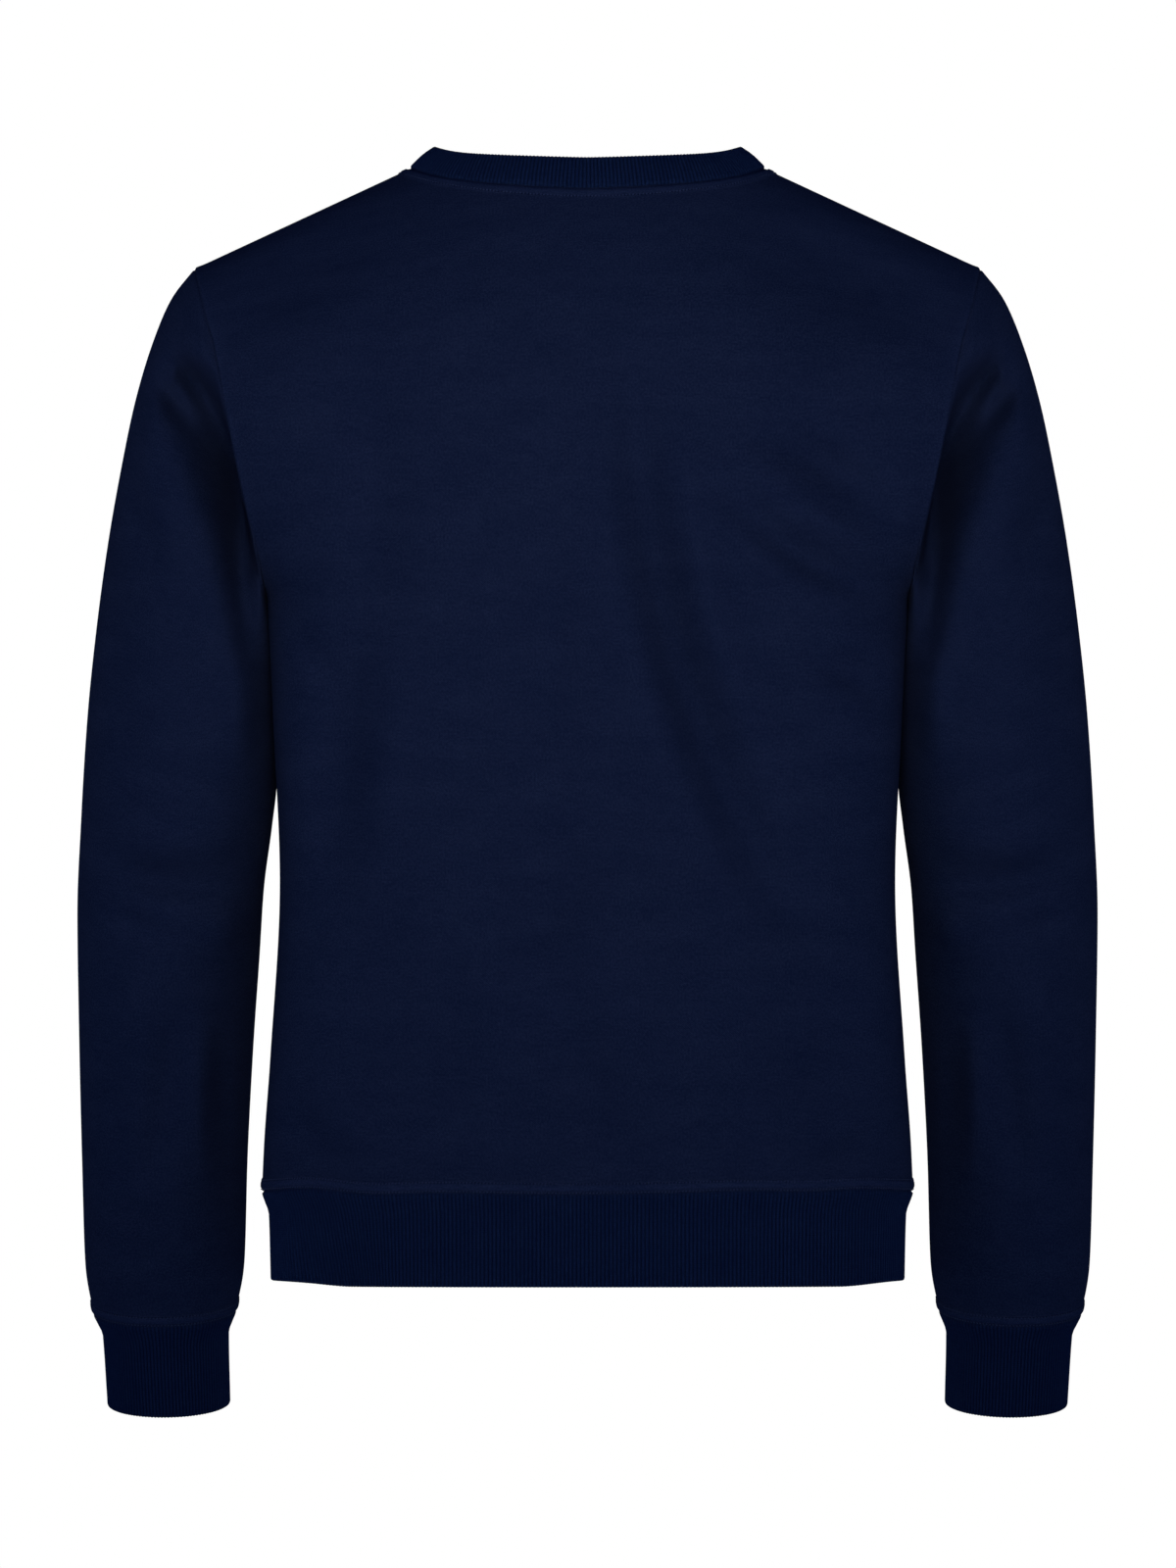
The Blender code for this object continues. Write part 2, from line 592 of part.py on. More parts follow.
def find_seams(back, front, sleeve, faces):
    """The seams that two pieces share, by name, and each rib's ways from its seam."""
    cells = closed_seams(*back.shape[:2])
    armhole = read_loop(back, front, cells["armhole"])
    body_faces = read_loop(faces["back"], faces["front"], cells["armhole"])
    outward = UNDERARM_TURN * unit(armhole - armhole.mean(axis=0))
    seams = {"armhole": seam_between(armhole, body_faces + faces["sleeve"][:, 0] + outward, ACROSS)}

    hem = read_loop(back, front, cells["hem"])
    neck = read_loop(back, front, cells["neck"])
    cuff = sleeve[:, -1]
    ways = {
        "hem": np.tile(-UP, (len(hem), 1)),
        "neck": neck_ways(neck),
        "cuff": np.tile(unit(np.array(CUFF_WAY)), (len(cuff), 1)),
    }
    for name, loop in (("hem", hem), ("neck", neck), ("cuff", cuff)):
        if name == "cuff":
            own = faces["sleeve"][:, -1]
        else:
            own = read_loop(faces["back"], faces["front"], cells[name])
        seams[name] = seam_between(loop, own + band_faces(loop, ways[name], own), ways[name])
    return cells, seams, ways


def build_wall(name, grid, faces, shift, raised, closed):
    """A wall of fleece on a grid, with the strips beside the ribs raised. Returns its two skins."""
    outer = grid + shift + BAND_RAISE * raised[..., None] * faces
    inner = grid + shift - FLEECE_WALL * faces
    wall(name, outer, inner, closed, FLEECE_COLOUR)
    return outer, inner


def build_panels(back, front, faces, gap, cells, seams, rim):
    """The back and the front, each stood back from its seams."""
    shifts = {"back": gap, "front": -gap}
    for name, loop_cells in cells.items():
        seam = seams[name]
        moved = {"back": np.zeros_like(back), "front": np.zeros_like(front)}
        hand_out(faces["back"], faces["front"], loop_cells, rim if name == "armhole" else seam.normals)
        hand_out(moved["back"], moved["front"], loop_cells, -SEAM_GAP / 2 * seam.onward)
        for panel, cell in zip(("back", "front"), loop_cells):
            if name == "armhole":
                right = other_side(back, cell)
                faces[panel][right] = mirror_x(faces[panel][cell])
                moved[panel][right] = mirror_x(moved[panel][cell])
            shifts[panel] = shifts[panel] + moved[panel]

    raised = np.zeros(back.shape[:2])
    middle = len(back) // 2
    raised[:, :2] = 1.0
    raised[middle - NECK_COLUMNS - 1 : middle + NECK_COLUMNS + 2, -2:] = 1.0
    build_wall("body_back", back, faces["back"], shifts["back"], raised, False)
    build_wall("body_front", front, faces["front"], shifts["front"], raised, False)


def build_sleeves(sleeve, faces, seams, rim):
    """The left sleeve, stood back from its two seams, and the right one as its mirror image."""
    shift = np.zeros_like(sleeve)
    shift[:, 0] = SEAM_GAP / 2 * seams["armhole"].onward
    shift[:, -1] = -SEAM_GAP / 2 * seams["cuff"].onward
    faces = faces.copy()
    faces[:, 0] = rim
    faces[:, -1] = seams["cuff"].normals
    raised = np.zeros(sleeve.shape[:2])
    raised[:, -2:] = 1.0
    outer, inner = build_wall("sleeve_left", sleeve, faces, shift, raised, True)
    wall("sleeve_right", mirror_x(outer), mirror_x(inner), True, FLEECE_COLOUR)


def main():
    for old in list(bpy.data.objects):
        bpy.data.objects.remove(old, do_unlink=True)

    back, front, faces, gap = make_body()
    armhole = read_loop(back, front, closed_seams(*back.shape[:2])["armhole"])
    sleeve, faces["sleeve"] = make_sleeve(armhole)
    cells, seams, ways = find_seams(back, front, sleeve, faces)

    # Under the arm the body's face and the sleeve's look at each other, and there each wall keeps a
    # share of its own face.
    body_faces = read_loop(faces["back"], faces["front"], cells["armhole"])
    sleeve_faces = faces["sleeve"][:, 0]
    opposed = np.clip(-np.sum(body_faces * sleeve_faces, axis=-1, keepdims=True), 0.0, 1.0)
    body_rim = unit(seams["armhole"].normals + opposed * body_faces)
    sleeve_rim = unit(seams["armhole"].normals + opposed * sleeve_faces)

    build_panels(back, front, faces, gap, cells, seams, body_rim)
    build_sleeves(sleeve, faces["sleeve"], seams, sleeve_rim)
    rib_band("hem_rib", seams["hem"], ways["hem"], HEM_PROFILE, HEM_RIBS, HEM_SEGMENTS)
    rib_band("neck_rib", seams["neck"], ways["neck"], NECK_PROFILE, NECK_RIBS, NECK_SEGMENTS)
    rib_band("cuff_left", seams["cuff"], ways["cuff"], CUFF_PROFILE, CUFF_RIBS, CUFF_SEGMENTS)
    right = Seam(*(mirror_x(values) for values in seams["cuff"]))
    rib_band("cuff_right", right, mirror_x(ways["cuff"]), CUFF_PROFILE, CUFF_RIBS, CUFF_SEGMENTS)


main()
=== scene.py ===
"""Looks of a crewneck sweatshirt: fleece panels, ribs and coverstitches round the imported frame.

Metres, +Z up, +X to the wearer's left, and the front faces -Y. The origin is midway between the two
points where the neck seam meets the shoulder seams. The panels, sleeves and ribs are thin closed
shells on the same form as the frame's solids, with more points, so that creases, seams, wales and
stitches show.
"""

import collections
import functools
import math

import bpy
import numpy as np
from bpy.props import FloatProperty, FloatVectorProperty, IntProperty, PointerProperty
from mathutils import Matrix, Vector
from mathutils.bvhtree import BVHTree


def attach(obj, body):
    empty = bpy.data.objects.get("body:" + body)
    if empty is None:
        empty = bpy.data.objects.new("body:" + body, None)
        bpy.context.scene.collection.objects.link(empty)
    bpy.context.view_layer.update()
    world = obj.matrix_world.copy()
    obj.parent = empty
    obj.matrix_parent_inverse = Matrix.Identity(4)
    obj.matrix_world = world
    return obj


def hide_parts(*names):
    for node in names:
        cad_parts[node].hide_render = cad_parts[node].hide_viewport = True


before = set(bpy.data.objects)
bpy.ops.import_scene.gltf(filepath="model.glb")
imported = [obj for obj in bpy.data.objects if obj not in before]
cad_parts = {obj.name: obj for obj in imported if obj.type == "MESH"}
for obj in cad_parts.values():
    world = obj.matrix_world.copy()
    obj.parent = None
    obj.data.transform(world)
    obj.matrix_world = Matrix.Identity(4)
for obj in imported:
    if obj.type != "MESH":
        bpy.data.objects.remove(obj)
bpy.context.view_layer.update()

bl_info = {
    "name": "Crewneck Sweatshirt",
    "version": (1, 0, 0),
    "blender": (4, 5, 0),
    "location": "3D Viewport > Sidebar > Sweatshirt",
    "description": "Builds the cloth, ribs and stitching of a crewneck sweatshirt",
    "category": "Add Mesh",
}

# The cut, as in the frame

NECK_HALF_WIDTH = 0.107
SHOULDER_SLOPE = math.tan(math.radians(25.0))
SHOULDER_TIP_X = 0.2360
TIP_ROUNDING = 0.085  # height over which a panel turns over the shoulder, at its tip
BACK_NECK_ROUNDING = 0.125
FRONT_NECK_ROUNDING = 0.150
BACK_NECK_DROP = 0.0125
BACK_NECK_CURVE = ((0.6, 1.5), (0.4, 6.0))  # shares of the drop, each with its power of x
FRONT_NECK_DROP = 0.075
FRONT_NECK_FULLNESS = 0.92  # 0.5 is an ellipse and 1 a parabola
UNDERARM_Z = -0.256
HEM_SEAM_Z = -0.6135
BACK_SQUARENESS = 2.6  # 2 is an ellipse
FRONT_SQUARENESS = 2.15
ARMHOLE_BACK_DEPTH = 0.068
ARMHOLE_FRONT_DEPTH = 0.073
TIP_CLEARANCE = 0.004  # the body's width stops following the armhole this far below its top
MOST_ARMHOLE_SHARE = 0.97  # of the body's depth beside it
WIDTH_STEPS = (-0.014, -0.009, -0.004, 0.0, 0.004, 0.009, 0.014)  # in height, which even out the width
EXACT_FROM, EXACT_OVER = 0.75, 0.20  # share of the way out from which it is exact again, and over how much
ARMHOLE_HOLD = 5.0  # rings over which the sleeve leaves the armhole's shape
UNDERARM_TURN = 0.6  # share of the way out of the armhole in the direction of its seam's face

HEM_DEPTH = 0.0565
CUFF_DEPTH = 0.0580
CUFF_WAY = (-0.040, -0.225, -0.974)  # the left cuff's way from its seam to its mouth
NECK_DEPTH = 0.0205

BACK, FRONT = 1.0, -1.0
UP = np.array((0.0, 0.0, 1.0))
ACROSS = np.array((1.0, 0.0, 0.0))
REARWARD = np.array((0.0, 1.0, 0.0))
LEVEL = np.array((1.0, 1.0, 0.0))
TINY, TINY_AREA, TINY_DEPTH = 1e-12, 1e-9, 1e-6  # the least that is divided by

Torso = collections.namedtuple("Torso", "height half_width side_y back_y front_y")
TORSO = (
    Torso(-0.6135, 0.1953, 0.012, 0.106, -0.108),
    Torso(-0.5850, 0.1940, 0.014, 0.109, -0.112),
    Torso(-0.5340, 0.1903, 0.016, 0.108, -0.113),
    Torso(-0.4282, 0.1845, 0.018, 0.104, -0.110),
    Torso(-0.3340, 0.1884, 0.020, 0.107, -0.115),
    Torso(-0.2900, 0.1905, 0.018, 0.110, -0.119),
    Torso(-0.2560, 0.1925, 0.004, 0.112, -0.122),
    Torso(-0.2000, 0.1925, 0.001, 0.112, -0.124),
    Torso(-0.1500, 0.1925, -0.001, 0.108, -0.121),
    Torso(-0.1000, 0.1925, -0.003, 0.099, -0.112),
    Torso(-0.0500, 0.1925, -0.005, 0.088, -0.099),
    Torso(0.0300, 0.1925, -0.007, 0.078, -0.082),
)

Armhole = collections.namedtuple("Armhole", "height back_x front_x")
ARMHOLE = (
    Armhole(UNDERARM_Z, 0.1925, 0.1925),
    Armhole(-0.2280, 0.1982, 0.1945),
    Armhole(-0.2000, 0.2056, 0.1990),
    Armhole(-0.1588, 0.2144, 0.2065),
    Armhole(-0.1094, 0.2238, 0.2180),
    Armhole(-0.0847, 0.2303, 0.2265),
    Armhole(-SHOULDER_SLOPE * (SHOULDER_TIP_X - NECK_HALF_WIDTH), SHOULDER_TIP_X, SHOULDER_TIP_X),
)

# Each ring of the left sleeve, by its outermost and innermost points. Tilt lowers the ring's back.
Ring = collections.namedtuple("Ring", "outer_x outer_z inner_x inner_z middle_y half_depth tilt")
SLEEVE = (
    Ring(SHOULDER_TIP_X, ARMHOLE[-1].height, 0.1925, UNDERARM_Z, -0.001, 0.0700, 0.0),
    Ring(0.2500, -0.0785, 0.1912, -0.2660, -0.004, 0.0680, 0.0),
    Ring(0.2620, -0.1070, 0.1888, -0.2810, -0.008, 0.0670, 1.0),
    Ring(0.2720, -0.1410, 0.1870, -0.2990, -0.012, 0.0660, 2.0),
    Ring(0.2800, -0.1790, 0.1862, -0.3200, -0.016, 0.0645, 4.0),
    Ring(0.2880, -0.2240, 0.1860, -0.3420, -0.020, 0.0630, 6.0),
    Ring(0.2950, -0.2750, 0.1865, -0.3670, -0.024, 0.0615, 8.0),
    Ring(0.3005, -0.3280, 0.1897, -0.3960, -0.028, 0.0600, 9.0),
    Ring(0.3045, -0.3900, 0.1945, -0.4320, -0.037, 0.0590, 11.0),
    Ring(0.3070, -0.4500, 0.1972, -0.4720, -0.049, 0.0570, 12.0),
    Ring(0.3062, -0.5200, 0.2012, -0.5280, -0.065, 0.0545, 13.0),
    Ring(0.3047, -0.5950, 0.2048, -0.5950, -0.082, 0.0515, 13.0),
    Ring(0.3029, -0.6580, 0.2068, -0.6570, -0.096, 0.0480, 13.0),
    Ring(0.2982, -0.6880, 0.2118, -0.6860, -0.103, 0.0420, 13.0),
)

# How far a rib has drawn in at each distance from its seam
Profile = collections.namedtuple("Profile", "along inward")
HEM_PROFILE = (
    Profile(0.0, 0.0),
    Profile(0.0060, 0.0022),
    Profile(0.0140, 0.0048),
    Profile(HEM_DEPTH, 0.0058),
)
CUFF_PROFILE = (
    Profile(0.0, 0.0),
    Profile(0.0060, 0.0028),
    Profile(0.0140, 0.0058),
    Profile(CUFF_DEPTH, 0.0068),
)
NECK_PROFILE = (Profile(0.0, 0.0), Profile(0.0110, -0.0006), Profile(NECK_DEPTH, 0.0004))

# Lean of the neck rib from upright, by where it is round the neck
NECK_LEAN_BACK, NECK_LEAN_SIDE, NECK_LEAN_FRONT = 24.0, 49.0, 34.0

# How the shells are divided. The steps are distances from a seam, so that its groove has points.
NECK_COLUMNS = 34
SIDE_ROWS = 96
ARMHOLE_ROWS = 80
SHOULDER_SPACING = 0.0040
SLEEVE_SPACING = 0.0028
SAMPLES_PER_RING = 40  # of the sleeve's middle, which give its length
SEAM_STEPS = (0.0, 0.0005, 0.0010, 0.0016, 0.0024, 0.0036, 0.0055)
BAND_STEPS = (
    0.0, 0.0004, 0.0009, 0.0014, 0.0020, 0.0030, 0.0042, 0.0052, 0.0059, 0.0064,
    0.0069, 0.0074, 0.0080, 0.0088, 0.0100,
)
RIB_STEPS = (0.0, 0.0007, 0.0016, 0.0030, 0.0050, 0.0075, 0.0105, 0.0140, 0.0175)
RIB_SPACING = 0.0060
COLUMNS_PER_WALE = 6
FOLD_STEPS = 6  # of the turn at a rib's folded edge

# Soft creases, from start to end through middle, in X and Z as seen from behind or in front. Left and
# right are the half widths on the two sides of the way from start to end.
Crease = collections.namedtuple("Crease", "start middle end left right rise")
BACK_CREASES = (
    Crease((-0.0280, -0.1340), (-0.0330, -0.2900), (-0.1180, -0.4450), 0.0146, 0.0183, -0.0166),
    Crease((-0.0560, -0.1750), (-0.0640, -0.2600), (-0.0940, -0.3300), 0.0159, 0.0146, 0.0088),
    Crease((-0.0200, -0.2600), (-0.0420, -0.3500), (-0.0800, -0.4300), 0.0171, 0.0146, 0.0062),
    Crease((-0.1060, -0.1620), (-0.1420, -0.1760), (-0.1740, -0.2010), 0.0146, 0.0159, -0.0137),
    Crease((-0.0860, -0.1960), (-0.1250, -0.2420), (-0.1740, -0.2530), 0.0090, 0.0120, -0.0106),
    Crease((-0.1260, -0.2060), (-0.1560, -0.2180), (-0.1800, -0.2360), 0.0080, 0.0080, 0.0054),
    Crease((-0.1400, -0.2960), (-0.1620, -0.3080), (-0.1840, -0.3160), 0.0100, 0.0130, -0.0090),
    Crease((-0.1440, -0.2800), (-0.1660, -0.2820), (-0.1860, -0.2720), 0.0090, 0.0090, 0.0051),
    Crease((0.1300, -0.0960), (0.1220, -0.2000), (0.1300, -0.2820), 0.0183, 0.0183, -0.0070),
    Crease((0.1380, -0.2900), (0.1440, -0.3500), (0.1520, -0.4240), 0.0207, 0.0171, -0.0132),
    Crease((0.1180, -0.3000), (0.1260, -0.3600), (0.1280, -0.4200), 0.0171, 0.0171, 0.0044),
    Crease((0.0290, -0.1900), (0.0230, -0.2700), (0.0230, -0.3540), 0.0207, 0.0207, -0.0080),
    Crease((-0.0020, -0.4050), (0.0220, -0.4300), (0.0430, -0.4850), 0.0207, 0.0207, -0.0075),
    Crease((0.0140, -0.5000), (0.0020, -0.5450), (-0.0120, -0.5920), 0.0183, 0.0183, -0.0080),
    Crease((-0.1360, -0.6000), (-0.1560, -0.5920), (-0.1720, -0.5760), 0.0080, 0.0080, -0.0064),
    Crease((0.1820, -0.5600), (0.1700, -0.5800), (0.1500, -0.5960), 0.0146, 0.0146, -0.0088),
    Crease((0.0860, -0.4600), (0.0800, -0.5150), (0.0880, -0.5700), 0.0207, 0.0207, -0.0044),
    Crease((-0.1480, -0.4700), (-0.1520, -0.5250), (-0.1460, -0.5700), 0.0183, 0.0183, -0.0048),
    Crease((0.1300, -0.0360), (0.1750, -0.0560), (0.2260, -0.0900), 0.0293, 0.0293, -0.0110),
    Crease((-0.1050, -0.0420), (-0.1650, -0.0650), (-0.2240, -0.0960), 0.0293, 0.0293, -0.0152),
    Crease((0.1900, -0.2620), (0.1700, -0.2800), (0.1560, -0.3060), 0.0090, 0.0090, -0.0038),
    Crease((0.1300, -0.4300), (0.1160, -0.5150), (0.1240, -0.5900), 0.0330, 0.0300, -0.0085),
    Crease((0.0300, -0.3400), (0.0380, -0.4400), (0.0200, -0.5400), 0.0340, 0.0300, -0.0070),
    Crease((-0.0600, -0.4700), (-0.0640, -0.5300), (-0.0560, -0.5900), 0.0300, 0.0300, 0.0060),
)
FRONT_CREASES = (
    Crease((0.0520, -0.1800), (0.0720, -0.3000), (0.1120, -0.4300), 0.0160, 0.0130, -0.0090),
    Crease((0.0780, -0.1950), (0.0930, -0.2650), (0.1150, -0.3300), 0.0120, 0.0120, 0.0051),
    Crease((0.0880, -0.2000), (0.1280, -0.2320), (0.1740, -0.2540), 0.0110, 0.0110, -0.0081),
    Crease((-0.0920, -0.1900), (-0.1300, -0.2280), (-0.1740, -0.2520), 0.0120, 0.0120, -0.0078),
    Crease((-0.1380, -0.2900), (-0.1280, -0.3700), (-0.1400, -0.4600), 0.0160, 0.0160, -0.0060),
    Crease((-0.0200, -0.2600), (-0.0280, -0.3800), (-0.0120, -0.4800), 0.0180, 0.0180, -0.0048),
    Crease((0.1200, -0.1600), (0.1500, -0.1860), (0.1780, -0.2160), 0.0100, 0.0100, -0.0063),
    Crease((-0.1180, -0.1580), (-0.1500, -0.1840), (-0.1780, -0.2080), 0.0100, 0.0100, -0.0054),
    Crease((0.1460, -0.2950), (0.1680, -0.3080), (0.1850, -0.3120), 0.0100, 0.0100, -0.0051),
    Crease((0.0300, -0.4300), (0.0400, -0.5000), (0.0300, -0.5700), 0.0160, 0.0160, -0.0030),
    Crease((-0.0900, -0.4900), (-0.1000, -0.5350), (-0.0940, -0.5800), 0.0140, 0.0140, -0.0030),
)
SLEEVE_BACK_CREASES = (
    Crease((0.2470, -0.1180), (0.2370, -0.1200), (0.2200, -0.1490), 0.0088, 0.0060, -0.0220),
    Crease((0.2440, -0.0960), (0.2340, -0.1040), (0.2190, -0.1340), 0.0080, 0.0080, 0.0076),
    Crease((0.2600, -0.1240), (0.2510, -0.1350), (0.2400, -0.1540), 0.0074, 0.0060, -0.0125),
    Crease((0.2450, -0.1230), (0.2210, -0.1460), (0.2070, -0.2300), 0.0210, 0.0150, -0.0360),
    Crease((0.2150, -0.1780), (0.2080, -0.2280), (0.2040, -0.2900), 0.0095, 0.0120, -0.0200),
    Crease((0.2100, -0.2700), (0.2060, -0.3150), (0.2070, -0.3560), 0.0100, 0.0100, 0.0060),
    Crease((0.2640, -0.1380), (0.2665, -0.1700), (0.2680, -0.2000), 0.0080, 0.0080, 0.0070),
    Crease((0.2780, -0.1640), (0.2750, -0.1950), (0.2650, -0.2300), 0.0090, 0.0080, -0.0080),
    Crease((0.2900, -0.2500), (0.2860, -0.3000), (0.2740, -0.3600), 0.0120, 0.0120, -0.0034),
    Crease((0.2960, -0.4120), (0.2600, -0.4360), (0.2100, -0.4260), 0.0110, 0.0130, -0.0100),
    Crease((0.2880, -0.4400), (0.2740, -0.4540), (0.2560, -0.4600), 0.0100, 0.0110, -0.0064),
    Crease((0.2700, -0.4100), (0.2500, -0.4050), (0.2080, -0.4000), 0.0090, 0.0080, 0.0040),
    Crease((0.2300, -0.4640), (0.2140, -0.4600), (0.2040, -0.4560), 0.0080, 0.0100, 0.0050),
    Crease((0.2290, -0.5160), (0.2340, -0.5600), (0.2310, -0.6000), 0.0080, 0.0080, 0.0046),
    Crease((0.2480, -0.5040), (0.2540, -0.5560), (0.2620, -0.6100), 0.0100, 0.0100, -0.0048),
    Crease((0.2180, -0.5200), (0.2200, -0.5600), (0.2160, -0.6100), 0.0080, 0.0080, -0.0046),
    Crease((0.2900, -0.5200), (0.2860, -0.5800), (0.2780, -0.6350), 0.0100, 0.0100, -0.0034),
)
SLEEVE_FRONT_CREASES = (
    Crease((0.2500, -0.1220), (0.2400, -0.1280), (0.2220, -0.1560), 0.0060, 0.0100, -0.0140),
    Crease((0.2480, -0.1010), (0.2360, -0.1080), (0.2200, -0.1380), 0.0090, 0.0080, 0.0040),
    Crease((0.2600, -0.1300), (0.2520, -0.1440), (0.2420, -0.1620), 0.0060, 0.0070, -0.0070),
    Crease((0.2380, -0.1400), (0.2180, -0.1700), (0.2060, -0.2400), 0.0160, 0.0180, -0.0230),
    Crease((0.2100, -0.2620), (0.2080, -0.3100), (0.2100, -0.3500), 0.0100, 0.0100, 0.0050),
    Crease((0.2760, -0.1700), (0.2720, -0.2050), (0.2640, -0.2400), 0.0090, 0.0090, -0.0040),
    Crease((0.2920, -0.3960), (0.2500, -0.4120), (0.2060, -0.4020), 0.0100, 0.0120, -0.0110),
    Crease((0.2900, -0.4480), (0.2500, -0.4500), (0.2080, -0.4620), 0.0110, 0.0110, -0.0090),
    Crease((0.2860, -0.4240), (0.2500, -0.4320), (0.2120, -0.4320), 0.0090, 0.0090, 0.0040),
    Crease((0.2300, -0.5000), (0.2420, -0.5500), (0.2560, -0.6000), 0.0100, 0.0100, -0.0046),
    Crease((0.2220, -0.3000), (0.2300, -0.3400), (0.2440, -0.3700), 0.0120, 0.0120, -0.0040),
    Crease((0.2820, -0.5200), (0.2800, -0.5700), (0.2740, -0.6250), 0.0100, 0.0100, -0.0034),
)
# Where a sleeve is tucked in under the body's edge: how far it moves there, the width of the turn at
# the seam, the run back out to the open sleeve, and the heights between which the tuck opens
Tuck = collections.namedtuple("Tuck", "inward deep turn run top bottom")
BACK_TUCK = Tuck(0.0065, -0.0340, 0.0050, 0.0170, -0.1300, -0.1720)
FRONT_TUCK = Tuck(0.0060, 0.0260, 0.0045, 0.0160, -0.1400, -0.1850)
TUCK_END = 0.006  # height over the underarm at which a tuck has closed again
TUCK_CLOSING = 0.075  # and the height over that in which it closes
UNDERARM_SHARE = 0.85  # by which a seam's groove is shallower at the underarm
UNDERARM_REACH = 0.020  # and the height, up or down, over which that fades
BODY_FREE_WIDTH = 0.016  # a crease fades out this close to a seam
SLEEVE_FREE_WIDTH = 0.006
BODY_OPEN_FACE = 0.95  # how squarely the cloth faces back or front where its creases are full
SLEEVE_OPEN_FACE = 0.90
FOLD_TURN = 0.0010  # cloth that a crease moves this far has taken the crease's slope
LIP_REACH = 0.0045  # half width of the body's edge that stands up beside the sleeve
NEAR_ROW = 0.0012  # distance of the first row of stitches from a rib's seam
FAR_ROW_MARGIN = 0.0005  # distance of the second row from the strip's edge
CREASE_SAMPLES = 17
CREASE_END_SHARE = 0.35  # of its rise

# The camera's frame, in pixels
PIXELS_PER_METRE = 1700
PICTURE_HEIGHT = 1600
ORIGIN_ROW = 172  # of the garment's origin, from the top
PIXELS_ASIDE = -0.5  # of the camera, from the garment's middle


def length_property(name, description, default):
    """A length that a user can change."""
    return FloatProperty(name=name, description=description, default=default, unit="LENGTH")


def angle_property(name, description, degrees):
    """An angle that a user can change."""
    return FloatProperty(name=name, description=description, default=math.radians(degrees), unit="ROTATION")


def colour_property(name, description, red, green, blue):
    """A colour that a user can change."""
    default = (red, green, blue, 1.0)
    return FloatVectorProperty(name=name, description=description, subtype="COLOR", size=4, default=default)


class SweatshirtCloth(bpy.types.PropertyGroup):
    """Sizes of the cloth, the seams and the thread."""

    fleece_wall: length_property("Fleece thickness", "Thickness of the fleece", 0.0020)
    rib_wall: length_property("Rib thickness", "Thickness of the doubled rib", 0.0026)
    band_width: length_property("Band width", "Width of the strip sewn flat beside a rib", 0.0068)
    band_raise: length_property("Band height", "How far that strip stands up", 0.0010)
    band_ramp: length_property("Band edge", "Width of the strip's sloping edge", 0.0010)
    row_depth: length_property("Row depth", "How deep a row of stitches draws the cloth in", 0.0008)
    row_width: length_property("Row half width", "Half width of that dip", 0.0006)
    seam_depth: length_property("Seam depth", "How deep a seam's groove is", 0.0011)
    seam_width: length_property("Seam half width", "Half width of a seam's groove", 0.0009)
    lip_raise: length_property("Armhole lip", "How far the body's edge stands up beside the sleeve", 0.0005)
    hem_wales: IntProperty(name="Hem wales", description="Ribs round the hem", default=412)
    neck_wales: IntProperty(name="Neck wales", description="Ribs round the neck", default=266)
    cuff_wales: IntProperty(name="Cuff wales", description="Ribs round a cuff", default=112)
    wale_raise: length_property("Wale height", "How far a rib stands up", 0.00070)
    stitch_pitch: length_property("Stitch pitch", "Length of one stitch", 0.00205)
    thread_width: length_property("Thread width", "Width of the sewing thread", 0.00058)
    hole_width: length_property("Hole width", "Width of a needle hole", 0.0009)


class SweatshirtColours(bpy.types.PropertyGroup):
    """Colours of the cloth, the sewing and the floor."""

    fleece: colour_property("Fleece", "Colour of the fleece", 0.0056, 0.0088, 0.0245)
    rib: colour_property("Rib", "Colour of the rib", 0.0036, 0.0081, 0.0279)
    # paler than the fleece: partly the thread's own colour, partly painted sheen
    thread: colour_property("Thread", "Colour of the sewing thread", 0.0150, 0.0215, 0.0520)
    hole: colour_property("Needle hole", "Colour of the shadow in a needle hole", 0.0014, 0.0030, 0.0120)
    floor: colour_property("Floor", "Colour of the floor", 0.90, 0.85, 0.70)


class SweatshirtStage(bpy.types.PropertyGroup):
    """Floor, camera and light."""

    floor_drop: length_property("Floor drop", "Height of the neck over the floor", 1.45)
    floor_half_width: length_property("Floor half width", "Half the floor's width", 1.7)
    floor_glow: FloatProperty(
        name="Floor glow", description="Own light of the floor, which keeps it pale", default=0.85
    )
    camera_distance: length_property("Camera distance", "Distance of the camera", 20.0)
    frame_height: length_property(
        "Frame height", "Height that the picture takes in", PICTURE_HEIGHT / PIXELS_PER_METRE
    )
    camera_height: length_property(
        "Camera height", "Height of the camera", (ORIGIN_ROW - PICTURE_HEIGHT / 2) / PIXELS_PER_METRE
    )
    camera_aside: length_property(
        "Camera aside", "The camera's place from side to side", PIXELS_ASIDE / PIXELS_PER_METRE
    )
    key_power: FloatProperty(name="Key light", description="Power of each middle light in watts", default=2.9)
    side_power: FloatProperty(name="Side light", description="Power of each side light in watts", default=1.4)
    side_turn: angle_property("Side turn", "Turn of the side lights from the middle", 55.0)
    light_distance: length_property("Light distance", "Distance of the lights", 2.6)
    key_spread: angle_property("Key spread", "Angle within which a middle light fades out", 36.0)
    side_spread: angle_property("Side spread", "Angle within which a side light fades out", 60.0)
    light_size: length_property("Light size", "Width of a light", 1.0)
    ambient: FloatProperty(name="Ambient", description="Strength of the light from all round", default=0.30)
    ambient_tint: colour_property("Ambient tint", "Colour of the light from all round", 0.08, 0.38, 1.0)


def column(table, name):
    """One named column of a table, as an array."""
    return np.array([getattr(row, name) for row in table])


